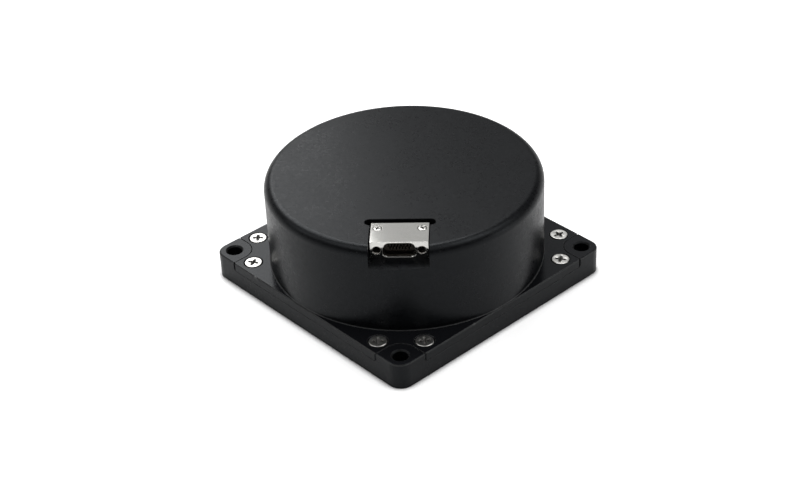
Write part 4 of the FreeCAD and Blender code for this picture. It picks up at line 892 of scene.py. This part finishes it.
def holder_mesh():
    """One of the connector's screws, with a domed head and a cross."""
    head, shank, seat = HOLDER_HEAD, HOLDER_SHANK, HOLDER_SEAT
    low, top = HOLDERS_LOW.z, HOLDERS_HIGH.z
    profile = [(0.0, low), (shank - 0.25 * MM, low)]
    profile += thread_profile(shank, low + 0.2 * MM, seat - 0.5 * MM, HOLDER_PITCH,
                              HOLDER_PITCH / 2)
    profile += [(shank, seat), (head - 0.08 * MM, seat), (head, seat + 0.08 * MM)]
    profile += rounded_rim(head, seat + 0.55 * MM, 0.75 * MM, 0.7 * MM)
    profile.append((0.0, top))
    cross = cross_cutter(1.25 * MM, 0.34 * MM, 1.0 * MM, top)
    return shaped(to_mesh(lathe(profile), "Holder"), [cross], 0.03 * MM)


def make_holders(finishes):
    """The two small screws that hold the connector down."""
    master = holder_mesh()
    places = [(master, spot(side * JACK_AT, HOLDER_Y, 0.0, math.radians(turn)))
              for side, turn in HOLDER_TURNS.items()]
    piece = add_piece("connector_screws_detail", gathered("Connector screws", places),
                      finishes["stainless"])
    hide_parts("connector_screws")


# ------------------------------------------------------------ studio
CAMERA_AIM = Vector((0.0, 0.0, 25 * MM))
LAMP_AIM = Vector((0.0, 0.0, 30 * MM))
FLOOR_REACH = 6.0
WHITE_FROM, WHITE_AT = 0.3, 0.9  # metres from the object where the floor turns white and is white
MIRRORED_GLOW = 0.4  # share of the floor's whiteness that metal shows


def make_camera(scene):
    settings = scene.gyro_camera
    azimuth, elevation, roll = settings.azimuth, settings.elevation, settings.roll
    back = Vector((math.sin(azimuth) * math.cos(elevation),
                   -math.cos(azimuth) * math.cos(elevation), math.sin(elevation)))
    level = Vector((math.cos(azimuth), math.sin(azimuth), 0.0))
    upright = back.cross(level)
    right = level * math.cos(roll) + upright * math.sin(roll)
    up = upright * math.cos(roll) - level * math.sin(roll)
    data = bpy.data.cameras.new("Camera")
    data.lens = settings.lens
    data.sensor_width = 36.0
    data.clip_start = 0.01
    camera = bpy.data.objects.new("Camera", data)
    scene.collection.objects.link(camera)
    slide = right * settings.slide_right + up * settings.slide_up
    turn = Matrix((right, up, back)).transposed().to_4x4()
    place = CAMERA_AIM + back * settings.distance + slide
    camera.matrix_world = Matrix.Translation(place) @ turn
    scene.camera = camera


def rays(nodes):
    """Masks of the rays from the camera, and of those mirrored or let through by the object."""
    path = nodes.add("ShaderNodeLightPath").outputs
    return path["Is Camera Ray"], nodes.larger(path["Is Glossy Ray"], path["Is Transmission Ray"])


def floor_glow(nodes, settings):
    """How far the floor is lifted to white: not under or right beside the object, where this paints
    a contact shadow, and wholly far away from it.
    """
    seen, bounced = rays(nodes)
    # painted contact shadow: ambient occlusion lowers the glow next to the object
    around = nodes.add("ShaderNodeAmbientOcclusion", {"samples": 16},
                       Distance=settings.contact_reach)
    clear = nodes.stretch(around.outputs["AO"], 0.5, 0.9)
    glow = nodes.times(clear, settings.floor_glow)
    away = nodes.add("ShaderNodeVectorMath", {"operation": "LENGTH"}, Vector=nodes.place())
    far = nodes.stretch(away.outputs["Value"], WHITE_FROM, WHITE_AT)
    shown = nodes.times(seen, nodes.larger(glow, far))
    mirrored = nodes.times(nodes.times(bounced, MIRRORED_GLOW), glow)
    return nodes.larger(shown, mirrored)


def floor_finish(settings):
    """Pale matt floor with a slight drift in its colour."""
    material, nodes, shader = new_material("Floor")
    drift = nodes.noise(nodes.place(), 3.0)
    pale = tuple(settings.floor_colour)
    nodes.feed(shader, "Base Color", nodes.blend(drift, tinted(pale, 0.99), pale))
    shader.inputs["Roughness"].default_value = 0.9
    shader.inputs["Specular IOR Level"].default_value = 0.2
    shader.inputs["Emission Color"].default_value = (1.0, 1.0, 1.0, 1.0)
    nodes.feed(shader, "Emission Strength", floor_glow(nodes, settings))
    return material


def make_floor(scene):
    """A wide pale floor that takes the contact shadow, which is partly rendered and partly painted
    into its glow.
    """
    shape = bmesh.new()
    for x, y in ((-1, -1), (1, -1), (1, 1), (-1, 1)):
        shape.verts.new((x * FLOOR_REACH, y * FLOOR_REACH, 0))
    shape.faces.new(shape.verts)
    mesh = to_mesh(shape, "Floor")
    mesh.materials.append(floor_finish(scene.gyro_studio))
    floor = bpy.data.objects.new("Floor", mesh)
    scene.collection.objects.link(floor)


def make_world(scene):
    """White where the camera looks; reflections see white low down and a dim room above."""
    world = bpy.data.worlds.new("Studio")
    scene.world = world
    world.use_nodes = True
    world.node_tree.nodes.clear()
    nodes = Nodes(world.node_tree)
    seen, bounced = rays(nodes)
    towards = nodes.add("ShaderNodeTexCoord").outputs["Generated"]
    height = nodes.add("ShaderNodeSeparateXYZ", Vector=towards).outputs["Z"]
    low = nodes.stretch(height, 0.30, 0.02)
    white = nodes.larger(seen, nodes.times(low, bounced))
    strength = nodes.stretch(white, 0.0, 1.0, scene.gyro_studio.world_level, 1.0)
    light = nodes.add("ShaderNodeBackground", Color=(1, 1, 1, 1), Strength=strength)
    nodes.add("ShaderNodeOutputWorld", None, (light.outputs[0],))


def add_softbox(name, turn, height, distance, size, power):
    """A square soft lamp aimed at the object, placed by its bearing from straight behind."""
    turn, height = math.radians(turn), math.radians(height)
    towards = Vector((-math.sin(turn) * math.cos(height), math.cos(turn) * math.cos(height),
                      math.sin(height)))
    data = bpy.data.lights.new(name, "AREA")
    data.shape = "SQUARE"
    data.size = size
    data.energy = power
    lamp = bpy.data.objects.new(name, data)
    bpy.context.scene.collection.objects.link(lamp)
    lamp.location = LAMP_AIM + towards * distance
    lamp.rotation_euler = towards.to_track_quat("Z", "Y").to_euler()


# bearing from straight behind (left is positive) and height in degrees, distance and side in
# metres, and power in watts, which for the key lamp is a setting
KEY_LAMP = (22, 33, 0.50, 0.20)
LOW_LAMPS = {
    "Back lamp": (0, 40, 1.00, 0.50, 0.360),
    "Right lamp": (-101, 10, 1.03, 0.35, 0.70),
    "Left side lamp": (88, 37, 1.00, 0.35, 0.65),
    "Right side lamp": (-88, 37, 1.00, 0.35, 0.45),
}
HIGH_LAMPS = {
    "High back lamp": (0, 62, 1.00, 0.30, 2.3),
    "High left back lamp": (35, 50, 0.80, 0.40, 1.902),
    "High left lamp": (90, 60, 1.00, 0.50, 0.50),
    "High left front lamp": (130, 60, 1.00, 0.50, 1.361),
    "High right lamp": (-90, 60, 1.00, 0.50, 2.05),
    "High right front lamp": (-130, 60, 1.00, 0.50, 0.637),
}


def make_lamps(scene):
    settings = scene.gyro_studio
    add_softbox("Key lamp", *KEY_LAMP, settings.key_level)
    for lamps, level in ((LOW_LAMPS, settings.low_level), (HIGH_LAMPS, settings.high_level)):
        for name, (turn, height, distance, size, power) in lamps.items():
            add_softbox(name, turn, height, distance, size, power * level)


# ------------------------------------------------------------ operators
class GYRO_OT_finishes(bpy.types.Operator):
    """Give every kept solid its finish"""
    bl_idname = "gyro.finishes"
    bl_label = "Finish the solids"

    def execute(self, context):
        finishes = finish_book(context.scene)
        slots = {entry["node"]: entry["material_slot"] for entry in frame["record"]["subparts"]}
        for node, solid in frame["nodes"].items():
            solid.data.materials.clear()
            solid.data.materials.append(finishes[slots[node]])
        return {"FINISHED"}


class GYRO_OT_cover_screws(bpy.types.Operator):
    """Model the eight countersunk screws of the cover"""
    bl_idname = "gyro.cover_screws"
    bl_label = "Cover screws"

    def execute(self, context):
        make_cover_screws(context.scene, finish_book(context.scene))
        return {"FINISHED"}


class GYRO_OT_connector_shell(bpy.types.Operator):
    """Model the connector's plated block with its D opening"""
    bl_idname = "gyro.connector_shell"
    bl_label = "Connector shell"

    def execute(self, context):
        make_shell(finish_book(context.scene))
        return {"FINISHED"}


class GYRO_OT_jack_sockets(bpy.types.Operator):
    """Model the two threaded jack sockets beside the D opening"""
    bl_idname = "gyro.jack_sockets"
    bl_label = "Jack sockets"

    def execute(self, context):
        make_jacks(finish_book(context.scene))
        return {"FINISHED"}


class GYRO_OT_connector_screws(bpy.types.Operator):
    """Model the two screws that hold the connector down"""
    bl_idname = "gyro.connector_screws"
    bl_label = "Connector screws"

    def execute(self, context):
        make_holders(finish_book(context.scene))
        return {"FINISHED"}


class GYRO_OT_studio(bpy.types.Operator):
    """Set up the floor, the light and the camera"""
    bl_idname = "gyro.studio"
    bl_label = "Studio and camera"

    def execute(self, context):
        scene = context.scene
        scene.view_settings.view_transform = "Standard"
        make_floor(scene)
        make_world(scene)
        make_lamps(scene)
        make_camera(scene)
        return {"FINISHED"}


class GYRO_PT_panel(bpy.types.Panel):
    """Lists the settings and steps of the gyroscope's dressing"""
    bl_idname = "GYRO_PT_panel"
    bl_label = "Gyroscope"
    bl_space_type = "VIEW_3D"
    bl_region_type = "UI"
    bl_category = "Gyroscope"

    def draw(self, context):
        for operator in STEPS:
            self.layout.operator(operator.bl_idname)
        for group in SETTINGS:
            box = self.layout.box()
            owner = getattr(context.scene, group)
            for field in owner.bl_rna.properties:
                if field.identifier not in ("rna_type", "name"):
                    box.prop(owner, field.identifier)


SETTINGS = {
    "gyro_camera": CameraSettings,
    "gyro_studio": StudioSettings,
    "gyro_anodising": AnodisingSettings,
    "gyro_hardware": HardwareSettings,
}
STEPS = (GYRO_OT_finishes, GYRO_OT_cover_screws, GYRO_OT_connector_shell, GYRO_OT_jack_sockets,
         GYRO_OT_connector_screws, GYRO_OT_studio)
FINISH_BOOK = {}


def finish_book(scene):
    """The finishes, made once."""
    if not FINISH_BOOK:
        FINISH_BOOK.update(make_finishes(scene))
    return FINISH_BOOK


def register():
    for group in SETTINGS.values():
        bpy.utils.register_class(group)
    for name, group in SETTINGS.items():
        setattr(bpy.types.Scene, name, bpy.props.PointerProperty(type=group))
    for step in STEPS:
        bpy.utils.register_class(step)
    bpy.utils.register_class(GYRO_PT_panel)


def unregister():
    bpy.utils.unregister_class(GYRO_PT_panel)
    for step in reversed(STEPS):
        bpy.utils.unregister_class(step)
    for name, group in SETTINGS.items():
        delattr(bpy.types.Scene, name)
        bpy.utils.unregister_class(group)


def main():
    register()
    for step in STEPS:
        area, action = step.bl_idname.split(".")
        getattr(getattr(bpy.ops, area), action)()


if __name__ == "__main__":
    main()
